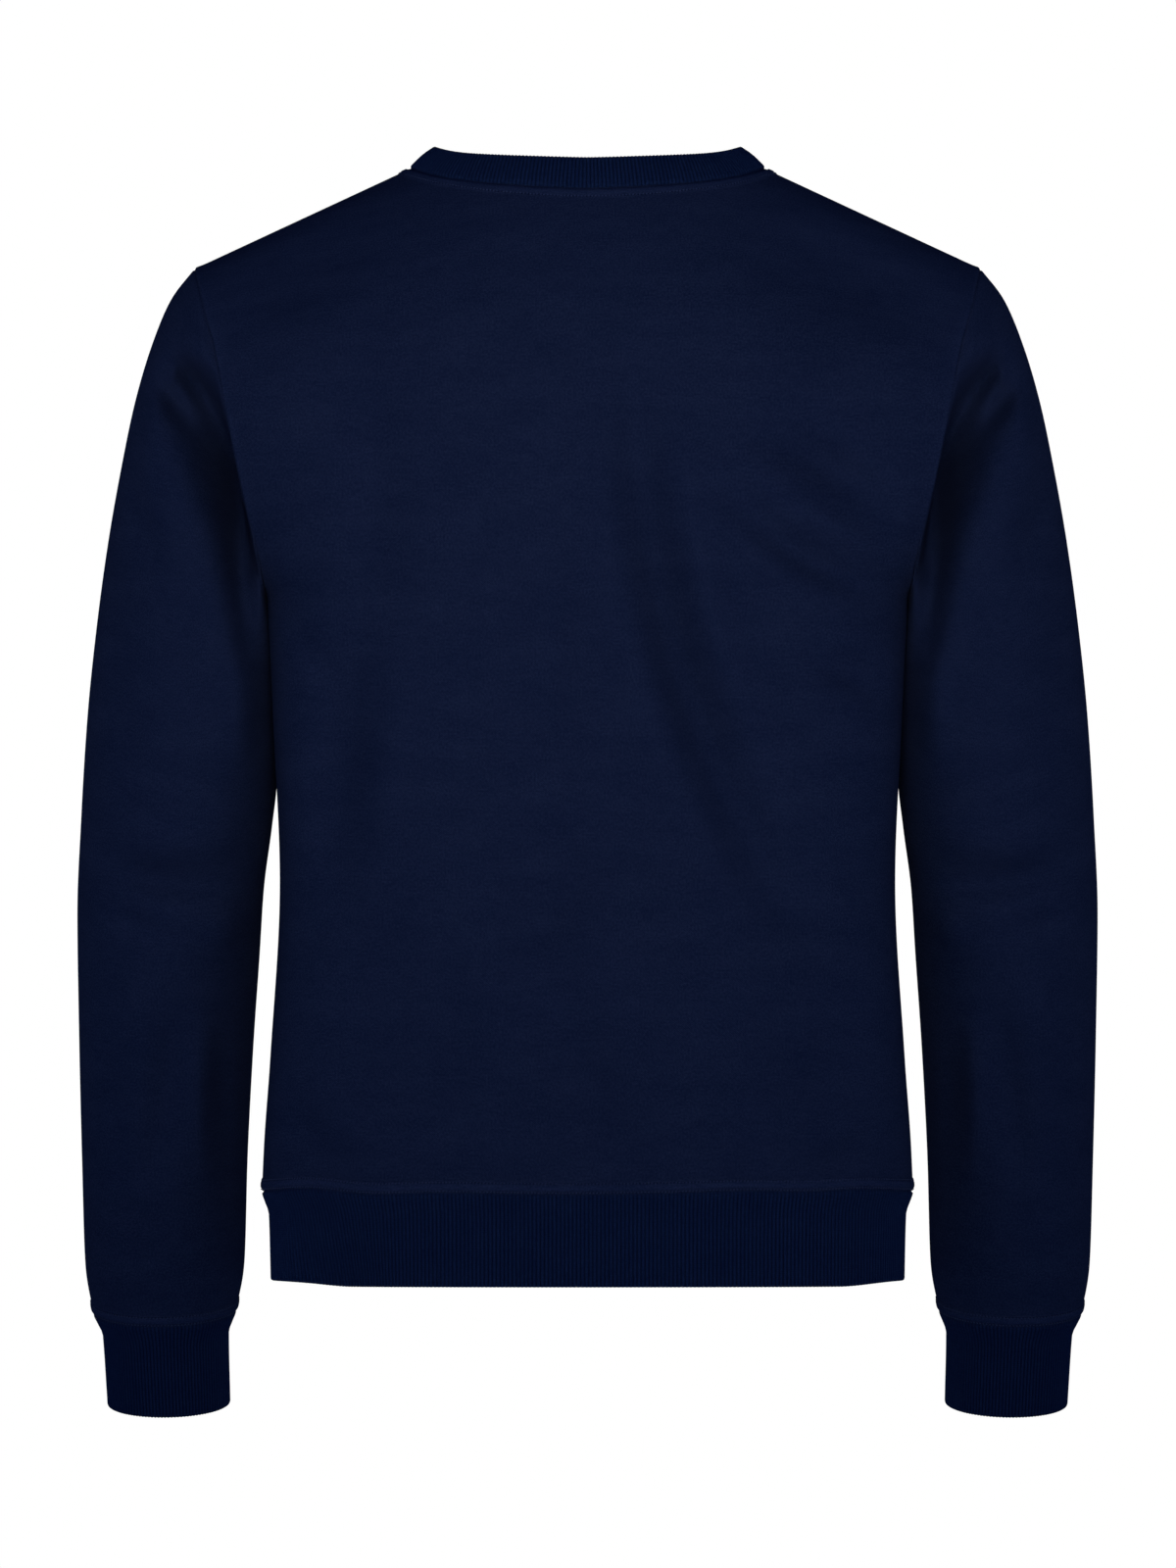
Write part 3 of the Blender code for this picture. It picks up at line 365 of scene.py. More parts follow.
def through(knots, values, at):
    """Cubic through the values at the knots, which never rises or falls past them."""
    knots, values = np.asarray(knots, float), np.asarray(values, float)
    step = np.diff(knots)
    rise = np.diff(values) / step
    slope = np.empty_like(values)
    same_way = rise[:-1] * rise[1:] > 0
    total = np.where(same_way, rise[:-1] + rise[1:], 1.0)
    slope[1:-1] = np.where(same_way, 2 * rise[:-1] * rise[1:] / total, 0.0)
    slope[0], slope[-1] = rise[0], rise[-1]
    at = np.clip(at, knots[0], knots[-1])
    i = np.clip(np.searchsorted(knots, at) - 1, 0, len(step) - 1)
    t = (at - knots[i]) / step[i]
    start = values[i] * (1 + 2 * t) * (1 - t) ** 2 + slope[i] * step[i] * t * (1 - t) ** 2
    end = values[i + 1] * t**2 * (3 - 2 * t) - slope[i + 1] * step[i] * t**2 * (1 - t)
    return start + end


def unit(vectors):
    """The vectors at length one."""
    length = np.linalg.norm(vectors, axis=-1, keepdims=True)
    return vectors / np.maximum(length, TINY)


def smoothstep(t):
    """0 to 1, level at both ends."""
    t = np.clip(t, 0.0, 1.0)
    return t * t * (3 - 2 * t)


def hump(distance, half_width):
    """1 at no distance, and down to nothing over about two half widths."""
    return np.exp(-((distance / half_width) ** 2))


def run_lengths(points, axis):
    """Distance run along one index of a grid, from its start."""
    steps = np.linalg.norm(np.diff(points, axis=axis), axis=-1)
    return np.insert(np.cumsum(steps, axis=axis), 0, 0.0, axis=axis)


def run_round(loop):
    """Distance run at each point of a closed row, and back at its start."""
    return run_lengths(np.concatenate((loop, loop[:1])), 0)


def mirror_x(points):
    """The same points on the other side of the garment."""
    return points * np.array((-1.0, 1.0, 1.0))


# The body's form


def torso(name, z):
    """One column of the torso table at height z."""
    return through(column(TORSO, "height"), column(TORSO, name), z)


def ridge(x):
    """Height of the shoulder line at x. Inside the neck it levels off."""
    x = np.abs(x)
    inside = SHOULDER_SLOPE * NECK_HALF_WIDTH / 2 * (1 - (x / NECK_HALF_WIDTH) ** 2)
    outside = -SHOULDER_SLOPE * (x - NECK_HALF_WIDTH)
    return np.where(x < NECK_HALF_WIDTH, inside, outside)


def turned_over(side, x, z):
    """Share of the body's full depth that is left near the shoulder line."""
    at_neck = BACK_NECK_ROUNDING if side == BACK else FRONT_NECK_ROUNDING
    outward = smoothstep((np.abs(x) - NECK_HALF_WIDTH) / (SHOULDER_TIP_X - NECK_HALF_WIDTH))
    rounding = at_neck + (TIP_ROUNDING - at_neck) * outward
    down = np.clip((ridge(x) - z) / rounding, 0.0, 1.0)
    return np.sqrt(1 - (1 - down) ** 2)


SHOULDER_TIP_Z = float(ridge(SHOULDER_TIP_X))
ARMHOLE_MIDDLE_Z = (SHOULDER_TIP_Z + UNDERARM_Z) / 2
ARMHOLE_HALF_HEIGHT = (SHOULDER_TIP_Z - UNDERARM_Z) / 2


def armhole_x(side, z):
    """Distance of the armhole seam from the middle of the garment."""
    name = "back_x" if side == BACK else "front_x"
    return through(column(ARMHOLE, "height"), column(ARMHOLE, name), z)


def armhole_reach(side, z):
    """Distance of the armhole seam behind or in front of its own middle."""
    depth = ARMHOLE_BACK_DEPTH if side == BACK else ARMHOLE_FRONT_DEPTH
    up = np.clip((z - ARMHOLE_MIDDLE_Z) / ARMHOLE_HALF_HEIGHT, -1.0, 1.0)
    return depth * np.sqrt(1 - up**2)


def wall_y(side, x, z):
    """Y of the body's outer face: a squared ellipse, as wide as lets the armhole lie on it."""
    square = BACK_SQUARENESS if side == BACK else FRONT_SQUARENESS
    middle = torso("side_y", z)
    depth = np.abs(torso("back_y" if side == BACK else "front_y", z) - middle)
    exact = body_width(side, z)
    even = np.mean([body_width(side, z + step) for step in WIDTH_STEPS], axis=0)
    width = even + (exact - even) * smoothstep((np.abs(x) / exact - EXACT_FROM) / EXACT_OVER)
    across = np.clip(np.abs(x) / width, 0.0, 1.0)
    bulge = (1 - across**square) ** (1 / square)
    return middle + side * depth * turned_over(side, x, z) * bulge


def body_width(side, z):
    """Half width of the squared ellipse at height z, over the armhole so wide that the armhole lies on it."""
    square = BACK_SQUARENESS if side == BACK else FRONT_SQUARENESS
    seam_z = np.minimum(z, SHOULDER_TIP_Z - TIP_CLEARANCE)
    above = seam_z > UNDERARM_Z
    edge = np.where(above, armhole_x(side, seam_z), torso("half_width", z))
    seam_depth = np.abs(torso("back_y" if side == BACK else "front_y", seam_z) - torso("side_y", seam_z))
    left_there = np.maximum(seam_depth * turned_over(side, edge, seam_z), TINY_DEPTH)
    share = np.where(above, armhole_reach(side, seam_z) / left_there, 0.0)
    share = np.clip(share, 0.0, MOST_ARMHOLE_SHARE)
    return edge / (1 - share**square) ** (1 / square)


def neck_z(side, x):
    """Height of the neck seam."""
    share = np.clip(np.abs(x) / NECK_HALF_WIDTH, 0.0, 1.0)
    if side == BACK:
        return -BACK_NECK_DROP * (1 - sum(part * share**power for part, power in BACK_NECK_CURVE))
    return -FRONT_NECK_DROP * (1 - share**2) ** FRONT_NECK_FULLNESS


def shares_of(length, spacing, start, end):
    """Shares of a length, evenly spaced but for the distances given from its start and from its end."""
    middle = length - start[-1] - end[-1]
    count = max(2, round(middle / spacing))
    even = start[-1] + middle * np.arange(1, count) / count
    return np.concatenate((start, even, (length - np.array(end))[::-1])) / length


def grid_normals(points, closed, toward):
    """Unit normals of a grid of points, closed round its first index or not, on the side given."""
    if closed:
        around = np.roll(points, -1, axis=0) - np.roll(points, 1, axis=0)
    else:
        around = np.gradient(points, axis=0)
    along = np.gradient(points, axis=1)
    normals = unit(np.cross(around, along))
    return normals if np.sum(normals * toward) > 0 else -normals


def panel_grid(side):
    """Outer points of the front or back, by column from -X to +X and by row from hem to shoulder."""
    reach = SHOULDER_TIP_X - NECK_HALF_WIDTH
    shoulder = shares_of(reach, SHOULDER_SPACING, BAND_STEPS, SEAM_STEPS)[1:]
    neck = np.arange(NECK_COLUMNS + 1) / NECK_COLUMNS
    outward = np.concatenate((neck / 2, 0.5 + shoulder / 2))
    low = np.sin(math.pi / 2 * outward)
    top_x = np.concatenate((NECK_HALF_WIDTH * np.sin(math.pi / 2 * neck), NECK_HALF_WIDTH + reach * shoulder))
    top_z = np.where(np.arange(len(top_x)) <= NECK_COLUMNS, neck_z(side, top_x), ridge(top_x))

    band = HEM_SEAM_Z + np.array(BAND_STEPS)
    sides = np.linspace(band[-1], UNDERARM_Z, SIDE_ROWS + 1)
    turn = np.linspace(math.pi, 0.0, ARMHOLE_ROWS + 1)
    armhole = ARMHOLE_MIDDLE_Z + ARMHOLE_HALF_HEIGHT * np.cos(turn)
    edge_z = np.concatenate((band, sides[1:], armhole[1:]))
    edge_share = (edge_z - HEM_SEAM_Z) / (SHOULDER_TIP_Z - HEM_SEAM_Z)
    rows = len(edge_z)

    length = top_z[0] - HEM_SEAM_Z
    near = np.array(BAND_STEPS) / length
    even = np.linspace(near[-1], 1 - near[-1], rows - 2 * len(near) + 2)
    middle_share = np.concatenate((near, even[1:-1], 1 - near[::-1]))

    upward = smoothstep((np.arange(rows) - rows + 1 + ARMHOLE_ROWS) / ARMHOLE_ROWS)
    share = middle_share + (edge_share - middle_share) * outward[:, None] ** 2
    z = HEM_SEAM_Z + (top_z[:, None] - HEM_SEAM_Z) * share
    edge_x = np.where(z > UNDERARM_Z, armhole_x(side, z), torso("half_width", z))
    fraction = low[:, None] + (top_x / SHOULDER_TIP_X - low)[:, None] * upward
    x = edge_x * fraction
    points = np.stack((x, wall_y(side, x, z), z), axis=-1)
    return np.concatenate((mirror_x(points[:0:-1]), points))


def sleeve_grid(loop):
    """Outer points of the left sleeve, round it by the armhole's points and down it to the cuff seam."""
    knots = np.arange(len(SLEEVE))
    fine = np.linspace(0.0, len(SLEEVE) - 1.0, SAMPLES_PER_RING * len(SLEEVE))
    middle = np.stack(
        (
            through(knots, (column(SLEEVE, "outer_x") + column(SLEEVE, "inner_x")) / 2, fine),
            through(knots, column(SLEEVE, "middle_y"), fine),
            through(knots, (column(SLEEVE, "outer_z") + column(SLEEVE, "inner_z")) / 2, fine),
        ),
        axis=-1,
    )
    far = run_lengths(middle, 0)
    wanted = far[-1] * shares_of(far[-1], SLEEVE_SPACING, SEAM_STEPS, BAND_STEPS)
    rows = np.interp(wanted, far, fine)
    ring = Ring(*(through(knots, column(SLEEVE, name), rows)[:, None] for name in Ring._fields))
    outer = np.concatenate((ring.outer_x, ring.middle_y, ring.outer_z), axis=1)
    inner = np.concatenate((ring.inner_x, ring.middle_y, ring.inner_z), axis=1)
    tilt = np.radians(ring.tilt)
    backward = np.concatenate((0 * tilt, np.cos(tilt), -np.sin(tilt)), axis=1)
    angles = np.linspace(0.0, 2 * math.pi, len(loop), endpoint=False)[:, None, None]
    half = (outer - inner) / 2
    points = (outer + inner) / 2 + half * np.cos(angles) + ring.half_depth * backward * np.sin(angles)
    fade = (1 - smoothstep(rows / ARMHOLE_HOLD))[None, :, None]
    return points + (loop - points[:, 0])[:, None, :] * fade


# Seams. A closed seam runs along cells of the back's grid and then along cells of the front's.

Seam = collections.namedtuple("Seam", "points normals onward")


def tangents(loop):
    """Unit tangents of a closed row of points."""
    return unit(np.roll(loop, -1, axis=0) - np.roll(loop, 1, axis=0))


def square_to(vectors, axes):
    """The unit vectors that are left with the share along the axes taken out."""
    return unit(vectors - np.sum(vectors * axes, axis=-1, keepdims=True) * axes)


def facing(vectors, toward):
    """The vectors, each turned round if it points against the direction given for it."""
    return vectors * np.where(np.sum(vectors * toward, axis=-1, keepdims=True) < 0, -1.0, 1.0)


def seam_between(points, faces, onward):
    """A seam with the normals that its two pieces share, and the way across it to the outer piece."""
    along = tangents(points)
    normals = square_to(faces, along)
    return Seam(points, normals, facing(unit(np.cross(along, normals)), onward))


def closed_seams(columns, rows):
    """Cells of the hem, neck and left armhole: on the back's grid, then on the front's."""
    middle = columns // 2
    underarm = rows - 1 - ARMHOLE_ROWS
    across = np.arange(columns)
    neck = np.arange(middle - NECK_COLUMNS, middle + NECK_COLUMNS + 1)
    up = np.arange(underarm, rows)
    left = np.full(len(up), columns - 1)
    return {
        "hem": ((across, 0 * across), (across[::-1], 0 * across)),
        "neck": ((neck, 0 * neck + rows - 1), (neck[::-1], 0 * neck + rows - 1)),
        "armhole": ((left, up[::-1]), (left, up)),
    }


def read_loop(back, front, cells):
    """Values at a closed seam's cells, as one closed row."""
    return np.concatenate((back[cells[0]], front[cells[1]][1:-1]))


def hand_out(back, front, cells, values):
    """Writes one closed row of values to a seam's cells."""
    count = len(cells[0][0])
    back[cells[0]] = values[:count]
    front[cells[1]] = np.concatenate((values[count - 1 :], values[:1]))


def other_side(grid, cells):
    """A grid's cells on the other side of the garment."""
    return len(grid) - 1 - cells[0], cells[1]


def distance_to(points, line, closed):
    """Distance from each point to the nearest place on a row of points."""
    ends = np.roll(line, -1, axis=0) if closed else line[1:]
    nearest = np.full(points.shape[:-1], np.inf)
    for start, end in zip(line, ends):
        way = end - start
        share = np.clip((points - start) @ way / max(way @ way, TINY), 0.0, 1.0)
        gap = points - start - share[..., None] * way
        nearest = np.minimum(nearest, np.sum(gap * gap, axis=-1))
    return np.sqrt(nearest)


def crease_height(creases, x, z):
    """How far the creases push the cloth out at each point."""
    height = np.zeros_like(x)
    shares = np.linspace(0.0, 1.0, CREASE_SAMPLES)[:, None]
    for crease in creases:
        start, middle, end = (np.array(place) for place in crease[:3])
        line = (1 - shares) ** 2 * start + 2 * shares * (1 - shares) * middle + shares**2 * end
        nearest = np.full(x.shape, np.inf)
        along = np.zeros_like(x)
        side = np.zeros_like(x)
        for i, way in enumerate(np.diff(line, axis=0)):
            off_x, off_z = x - line[i, 0], z - line[i, 1]
            share = np.clip((off_x * way[0] + off_z * way[1]) / (way @ way), 0.0, 1.0)
            off_x, off_z = off_x - share * way[0], off_z - share * way[1]
            far = np.hypot(off_x, off_z)
            closer = far < nearest
            turn = (way[0] * off_z - way[1] * off_x) / np.maximum(math.hypot(*way) * far, TINY_AREA)
            side = np.where(closer, turn, side)
            along = np.where(closer, (i + share) / (CREASE_SAMPLES - 1), along)
            nearest = np.minimum(far, nearest)
        width = crease.right + (crease.left - crease.right) * (0.5 + 0.5 * side)
        fade = CREASE_END_SHARE + (1 - CREASE_END_SHARE) * np.sin(np.pi * along)
        height += crease.rise * fade * hump(nearest, width)
    return height


def along_loop(loop, values, shares):
    """Values given at the points of a closed row, at shares of the way round it."""
    far = run_round(loop)
    ring = np.concatenate((values, values[:1]))
    return np.stack([np.interp(shares * far[-1], far, ring[:, part]) for part in range(3)], axis=-1)


def band_faces(loop, ways, outward):
    """Outer faces' normals of a band that runs the given ways from a closed seam."""
    return facing(unit(np.cross(tangents(loop), ways)), outward)


def neck_ways(loop):
    """The way the neck rib stands at each point of its seam: up, and leaning in over the neck."""
    across = np.clip(np.abs(loop[:, 0]) / NECK_HALF_WIDTH, 0.0, 1.0)
    ends = np.where(loop[:, 1] > torso("side_y", 0.0), NECK_LEAN_BACK, NECK_LEAN_FRONT)
    lean = np.radians(ends + (NECK_LEAN_SIDE - ends) * across**2)[:, None]
    along = tangents(loop)
    inward = facing(unit(np.cross(UP, along)), -loop * LEVEL)
    return square_to(np.cos(lean) * UP + np.sin(lean) * inward, along)


# Shells. A shell is an outer and an inner grid of points with the outer's normals.

Shell = collections.namedtuple("Shell", "outer inner faces")
Form = collections.namedtuple("Form", "back front sleeve seams ways")


def groove(cloth, distance, z):
    """The dip of a seam at each distance from it, shallower where the seams meet under the arm."""
    shallow = 1 - UNDERARM_SHARE * hump(z - UNDERARM_Z, UNDERARM_REACH)
    return -cloth.seam_depth * hump(distance, cloth.seam_width) * shallow


def raised_band(cloth, distance):
    """The strip between a rib's seam and the far row of stitches, drawn in a little along each row."""
    strip = 1 - smoothstep((distance - cloth.band_width) / cloth.band_ramp)
    rows = sum(hump(distance - row, cloth.row_width) for row in stitch_rows(cloth))
    return cloth.band_raise * strip - cloth.row_depth * rows


def stitch_rows(cloth):
    """Distance of each row of stitches from a rib's seam."""
    return NEAR_ROW, cloth.band_width - FAR_ROW_MARGIN


def make_body():
    """The back's and front's base grids and normals, which meet along their sides and shoulders."""
    back, front = panel_grid(BACK), panel_grid(FRONT)
    columns, rows = back.shape[:2]
    up = np.arange(rows - ARMHOLE_ROWS)
    out = np.arange(columns // 2 + NECK_COLUMNS, columns)
    joins = ((np.full(len(up), columns - 1), up), (out, np.full(len(out), rows - 1)))
    cells = [side for join in joins for side in (join, other_side(back, join))]
    for cell in cells:
        front[cell] = back[cell]
    back_faces = grid_normals(back, False, REARWARD)
    front_faces = grid_normals(front, False, -REARWARD)
    for cell in cells:
        both = unit(back_faces[cell] + front_faces[cell])
        back_faces[cell] = both
        front_faces[cell] = both
    return {"back": back, "front": front}, {"back": back_faces, "front": front_faces}, cells


def find_seams(grids, faces, cells):
    """The seams that two pieces share, by name, and each rib's ways from its seam."""
    loops = {name: read_loop(grids["back"], grids["front"], cells[name]) for name in cells}
    loops["cuff"] = grids["sleeve"][:, -1]
    own = {name: read_loop(faces["back"], faces["front"], cells[name]) for name in cells}
    own["cuff"] = faces["sleeve"][:, -1]
    outward = UNDERARM_TURN * unit(loops["armhole"] - loops["armhole"].mean(axis=0))
    shared = own["armhole"] + faces["sleeve"][:, 0] + outward
    seams = {"armhole": seam_between(loops["armhole"], shared, ACROSS)}
    ways = {
        "hem": np.tile(-UP, (len(loops["hem"]), 1)),
        "neck": neck_ways(loops["neck"]),
        "cuff": np.tile(unit(np.array(CUFF_WAY)), (len(loops["cuff"]), 1)),
    }
    for name, way in ways.items():
        seams[name] = seam_between(loops[name], own[name] + band_faces(loops[name], way, own[name]), way)
    return seams, ways


def walled(cloth, grid, folded, faces, closed, relief):
    """A shell round a folded grid, whose outer skin alone has the seams' relief."""
    moved = smoothstep(np.linalg.norm(folded - grid, axis=-1) / FOLD_TURN)[..., None]
    square = unit(faces + moved * (grid_normals(folded, closed, faces) - faces))
    return Shell(folded + relief[..., None] * square, folded - cloth.fleece_wall * square, square)


def make_panel(cloth, side, grid, faces, creases, seams, joins):
    """One body panel's shell, from its base grid."""
    to_hem = grid[..., 2] - HEM_SEAM_Z
    to_neck = distance_to(grid, seams["neck"].points, True)
    to_armhole = np.minimum(
        distance_to(grid, seams["armhole"].points, True),
        distance_to(grid, mirror_x(seams["armhole"].points), True),
    )
    to_join = np.min([distance_to(grid, grid[join], False) for join in joins], axis=0)
    nearest = np.min((to_hem, to_neck, to_armhole, to_join), axis=0)
    room = smoothstep(nearest / BODY_FREE_WIDTH)
    open_share = smoothstep(side * faces[..., 1] / BODY_OPEN_FACE)
    folded = grid.copy()
    folded[..., 1] += side * room * open_share * crease_height(creases, grid[..., 0], grid[..., 2])
    relief = raised_band(cloth, to_hem) + raised_band(cloth, to_neck)
    relief += cloth.lip_raise * hump(to_armhole, LIP_REACH)
    relief += groove(cloth, nearest, grid[..., 2])
    return walled(cloth, grid, folded, faces, False, relief)


def tucked(tuck, distance, z):
    """The way that the tuck moves the sleeve at each distance from the armhole."""
    opened = smoothstep((tuck.top - z) / (tuck.top - tuck.bottom))
    opened = opened * smoothstep((z - UNDERARM_Z - TUCK_END) / TUCK_CLOSING)
    share = opened * smoothstep(distance / tuck.turn) * hump(distance, tuck.run)
    return share[..., None] * np.array((-tuck.inward, tuck.deep, 0.0))


def make_sleeve(cloth, grid, faces, seams):
    """The left sleeve's shell, from its base grid."""
    to_armhole = distance_to(grid, seams["armhole"].points, True)
    to_cuff = distance_to(grid, seams["cuff"].points, True)
    to_underarm = distance_to(grid, grid[len(grid) // 2], False)
    room = smoothstep(np.minimum(to_armhole, to_cuff) / SLEEVE_FREE_WIDTH)
    behind = smoothstep(faces[..., 1] / SLEEVE_OPEN_FACE)
    before = smoothstep(-faces[..., 1] / SLEEVE_OPEN_FACE)
    folded = grid.copy()
    folded[..., 1] += room * behind * crease_height(SLEEVE_BACK_CREASES, grid[..., 0], grid[..., 2])
    folded[..., 1] -= room * before * crease_height(SLEEVE_FRONT_CREASES, grid[..., 0], grid[..., 2])
    folded += behind[..., None] * tucked(BACK_TUCK, to_armhole, grid[..., 2])
    folded += before[..., None] * tucked(FRONT_TUCK, to_armhole, grid[..., 2])
    relief = raised_band(cloth, to_cuff)
    relief += groove(cloth, np.min((to_armhole, to_cuff, to_underarm), axis=0), grid[..., 2])
    return walled(cloth, grid, folded, faces, True, relief)


@functools.lru_cache(maxsize=1)
def garment_form():
    """The shells of the cloth and the seams between them."""
    cloth = bpy.context.scene.sweatshirt_cloth
    grids, faces, joins = make_body()
    cells = closed_seams(*grids["back"].shape[:2])
    armhole = read_loop(grids["back"], grids["front"], cells["armhole"])
    grids["sleeve"] = sleeve_grid(armhole)
    out = grids["sleeve"] - grids["sleeve"].mean(axis=0)
    faces["sleeve"] = grid_normals(grids["sleeve"], True, out)
    seams, ways = find_seams(grids, faces, cells)

    body_faces = read_loop(faces["back"], faces["front"], cells["armhole"])
    sleeve_faces = faces["sleeve"][:, 0].copy()
    opposed = np.clip(-np.sum(body_faces * sleeve_faces, axis=-1, keepdims=True), 0.0, 1.0)
    rims = {name: seams[name].normals for name in cells}
    rims["armhole"] = unit(seams["armhole"].normals + opposed * body_faces)
    for name, cell in cells.items():
        hand_out(faces["back"], faces["front"], cell, rims[name])
    for panel, cell in zip(("back", "front"), cells["armhole"]):
        faces[panel][other_side(grids[panel], cell)] = mirror_x(faces[panel][cell])
    faces["sleeve"][:, 0] = unit(seams["armhole"].normals + opposed * sleeve_faces)
    faces["sleeve"][:, -1] = seams["cuff"].normals

    return Form(
        make_panel(cloth, BACK, grids["back"], faces["back"], BACK_CREASES, seams, joins),
        make_panel(cloth, FRONT, grids["front"], faces["front"], FRONT_CREASES, seams, joins),
        make_sleeve(cloth, grids["sleeve"], faces["sleeve"], seams),
        seams,
        ways,
    )


# How the whole garment has settled, after all its pieces are made

Sag = collections.namedtuple("Sag", "x z width height lift")
BACK_SAGS = (
    Sag(0.168, -0.6135, 0.022, 0.030, 0.0022),
    Sag(0.128, -0.6135, 0.022, 0.026, -0.0012),
    Sag(0.010, -0.6135, 0.060, 0.030, -0.0012),
    Sag(-0.095, -0.6135, 0.030, 0.026, 0.0010),
    Sag(-0.165, -0.6135, 0.024, 0.030, 0.0018),
)
FRONT_SAGS = (
    Sag(-0.160, -0.6135, 0.026, 0.030, 0.0018),
    Sag(-0.060, -0.6135, 0.045, 0.028, -0.0014),
    Sag(0.070, -0.6135, 0.035, 0.028, 0.0010),
    Sag(0.150, -0.6135, 0.030, 0.028, -0.0012),
)
BEHIND_FROM, BEHIND_OVER = -0.030, 0.100  # Y from which the back's sags take over, and over how much
SAG_REACH, SAG_FADE = 0.200, 0.004  # X that the sags reach, and over how much they fade out before it
CORNER_LIFT = 0.0030  # of the hem's lower edge, at the sides
CORNER_FROM, CORNER_OVER = 0.150, 0.040  # X from which it lifts, and over how much
CORNER_DROP = 0.010  # distance below the hem seam at which the lift starts
Lean = collections.namedtuple("Lean", "x width shift")
HEM_LEAN = Lean(0.158, 0.030, 0.0090)  # of the ribs near the left back corner, at the lower edge
LEAN_FADE = 0.025  # distance from the side over which the lean grows


def settled(points):
    """The points, moved by the small rises and sags along the hem and by the lean of its ribs."""
    x, y, z = points[..., 0], points[..., 1], points[..., 2]
    behind = smoothstep((y - BEHIND_FROM) / BEHIND_OVER)
    lift = np.zeros_like(x)
    for sags, share in ((BACK_SAGS, behind), (FRONT_SAGS, 1 - behind)):
        for sag in sags:
            lift += sag.lift * share * hump(x - sag.x, sag.width) * hump(z - sag.z, sag.height)
    low = smoothstep((HEM_SEAM_Z - CORNER_DROP - z) / (HEM_DEPTH - CORNER_DROP))
    lift += CORNER_LIFT * low * smoothstep((np.abs(x) - CORNER_FROM) / CORNER_OVER)
    inside = smoothstep((torso("half_width", z) - np.abs(x)) / LEAN_FADE)
    leaning = behind * inside * hump(x - HEM_LEAN.x, HEM_LEAN.width)
    moved = points.copy()
    moved[..., 0] -= HEM_LEAN.shift * leaning * np.clip((HEM_SEAM_Z - z) / HEM_DEPTH, 0.0, 1.0)
    moved[..., 2] += lift * smoothstep((SAG_REACH - np.abs(x)) / SAG_FADE)
    return moved


# Meshes

Span = collections.namedtuple("Span", "top bottom")
RUN_ROUND = Span(-0.190, -0.350)  # where a panel's cloth coordinates go over to running round its sides
SHOULDER_TURN = 0.090  # height below the shoulder line from which they run over it
SHOULDER_RUN = 0.060  # and how much further they run
SHARP_ANGLE = math.radians(60.0)  # between faces that aren't shaded as one


def grid_quads(columns, rows, closed_columns, closed_rows, first=0):
    """Corner indices of a grid's quads."""
    i = np.arange(columns if closed_columns else columns - 1)
    k = np.arange(rows if closed_rows else rows - 1)
    i, k = (part.ravel() for part in np.meshgrid(i, k, indexing="ij"))
    j, m = (i + 1) % columns, (k + 1) % rows
    return first + np.stack((i * rows + k, j * rows + k, j * rows + m, i * rows + m), axis=-1)


def turned_out(points, quads, faces):
    """The quads, all turned round if they face against the normals of their first corners."""
    a, b, c, d = (points[quads[:, corner]] for corner in range(4))
    against = np.sum(np.cross(c - a, d - b) * faces[quads[:, 0]], axis=-1).sum() < 0
    return quads[:, ::-1] if against else quads


def add_piece(name, points, faces, *materials):
    """Puts a mesh in the scene, where the garment has settled."""
    mesh = bpy.data.meshes.new(name)
    mesh.from_pydata(settled(points), [], faces)
    for material in materials:
        mesh.materials.append(material)
    piece = bpy.data.objects.new(name, mesh)
    bpy.context.scene.collection.objects.link(piece)
    return piece


def add_cloth(name, points, quads, uv, material):
    """A smooth piece of cloth with its own cloth coordinates in metres."""
    piece = add_piece(name, points, quads, material)
    layer = piece.data.uv_layers.new(name="UVMap")
    layer.data.foreach_set("uv", np.asarray(uv, np.float32).ravel())
    piece.data.shade_smooth()
    piece.data.set_sharp_from_angle(angle=SHARP_ANGLE)
    return piece


def add_attribute(piece, name, values):
    """Gives each point of a mesh its value of an attribute."""
    attribute = piece.data.attributes.new(name, "FLOAT", "POINT")
    attribute.data.foreach_set("value", np.asarray(values, np.float32).ravel())


def corner_uv(quads, u, v, columns, rows):
    """Cloth coordinates at each corner of the quads. Round a tube u has one more column than the points."""
    column, row = np.divmod(quads % (columns * rows), rows)
    last = np.ptp(column, axis=1)[:, None] > columns // 2
    return np.stack((u[np.where(last & (column == 0), columns, column), row], v[column, row]), axis=-1)


def panel_uv(points):
    """Cloth coordinates of a body panel: straight over the shoulders, and run round the sides lower down."""
    x, z = points[..., 0], points[..., 2]
    run = run_lengths(points * LEVEL, 0)
    run = run - run[len(run) // 2]
    u = x + (run - x) * smoothstep((RUN_ROUND.top - z) / (RUN_ROUND.top - RUN_ROUND.bottom))
    below = np.clip((ridge(x) - z) / SHOULDER_TURN, 0.0, 1.0)
    return u, z + SHOULDER_RUN * (1 - below) ** 2


def rim_quads(line, closed, count):
    """Quads from a line of outer points to the inner points behind them, which are counted on by count."""
    near, far = (line, np.roll(line, -1)) if closed else (line[:-1], line[1:])
    return np.stack((near, far, far + count, near + count), axis=-1)


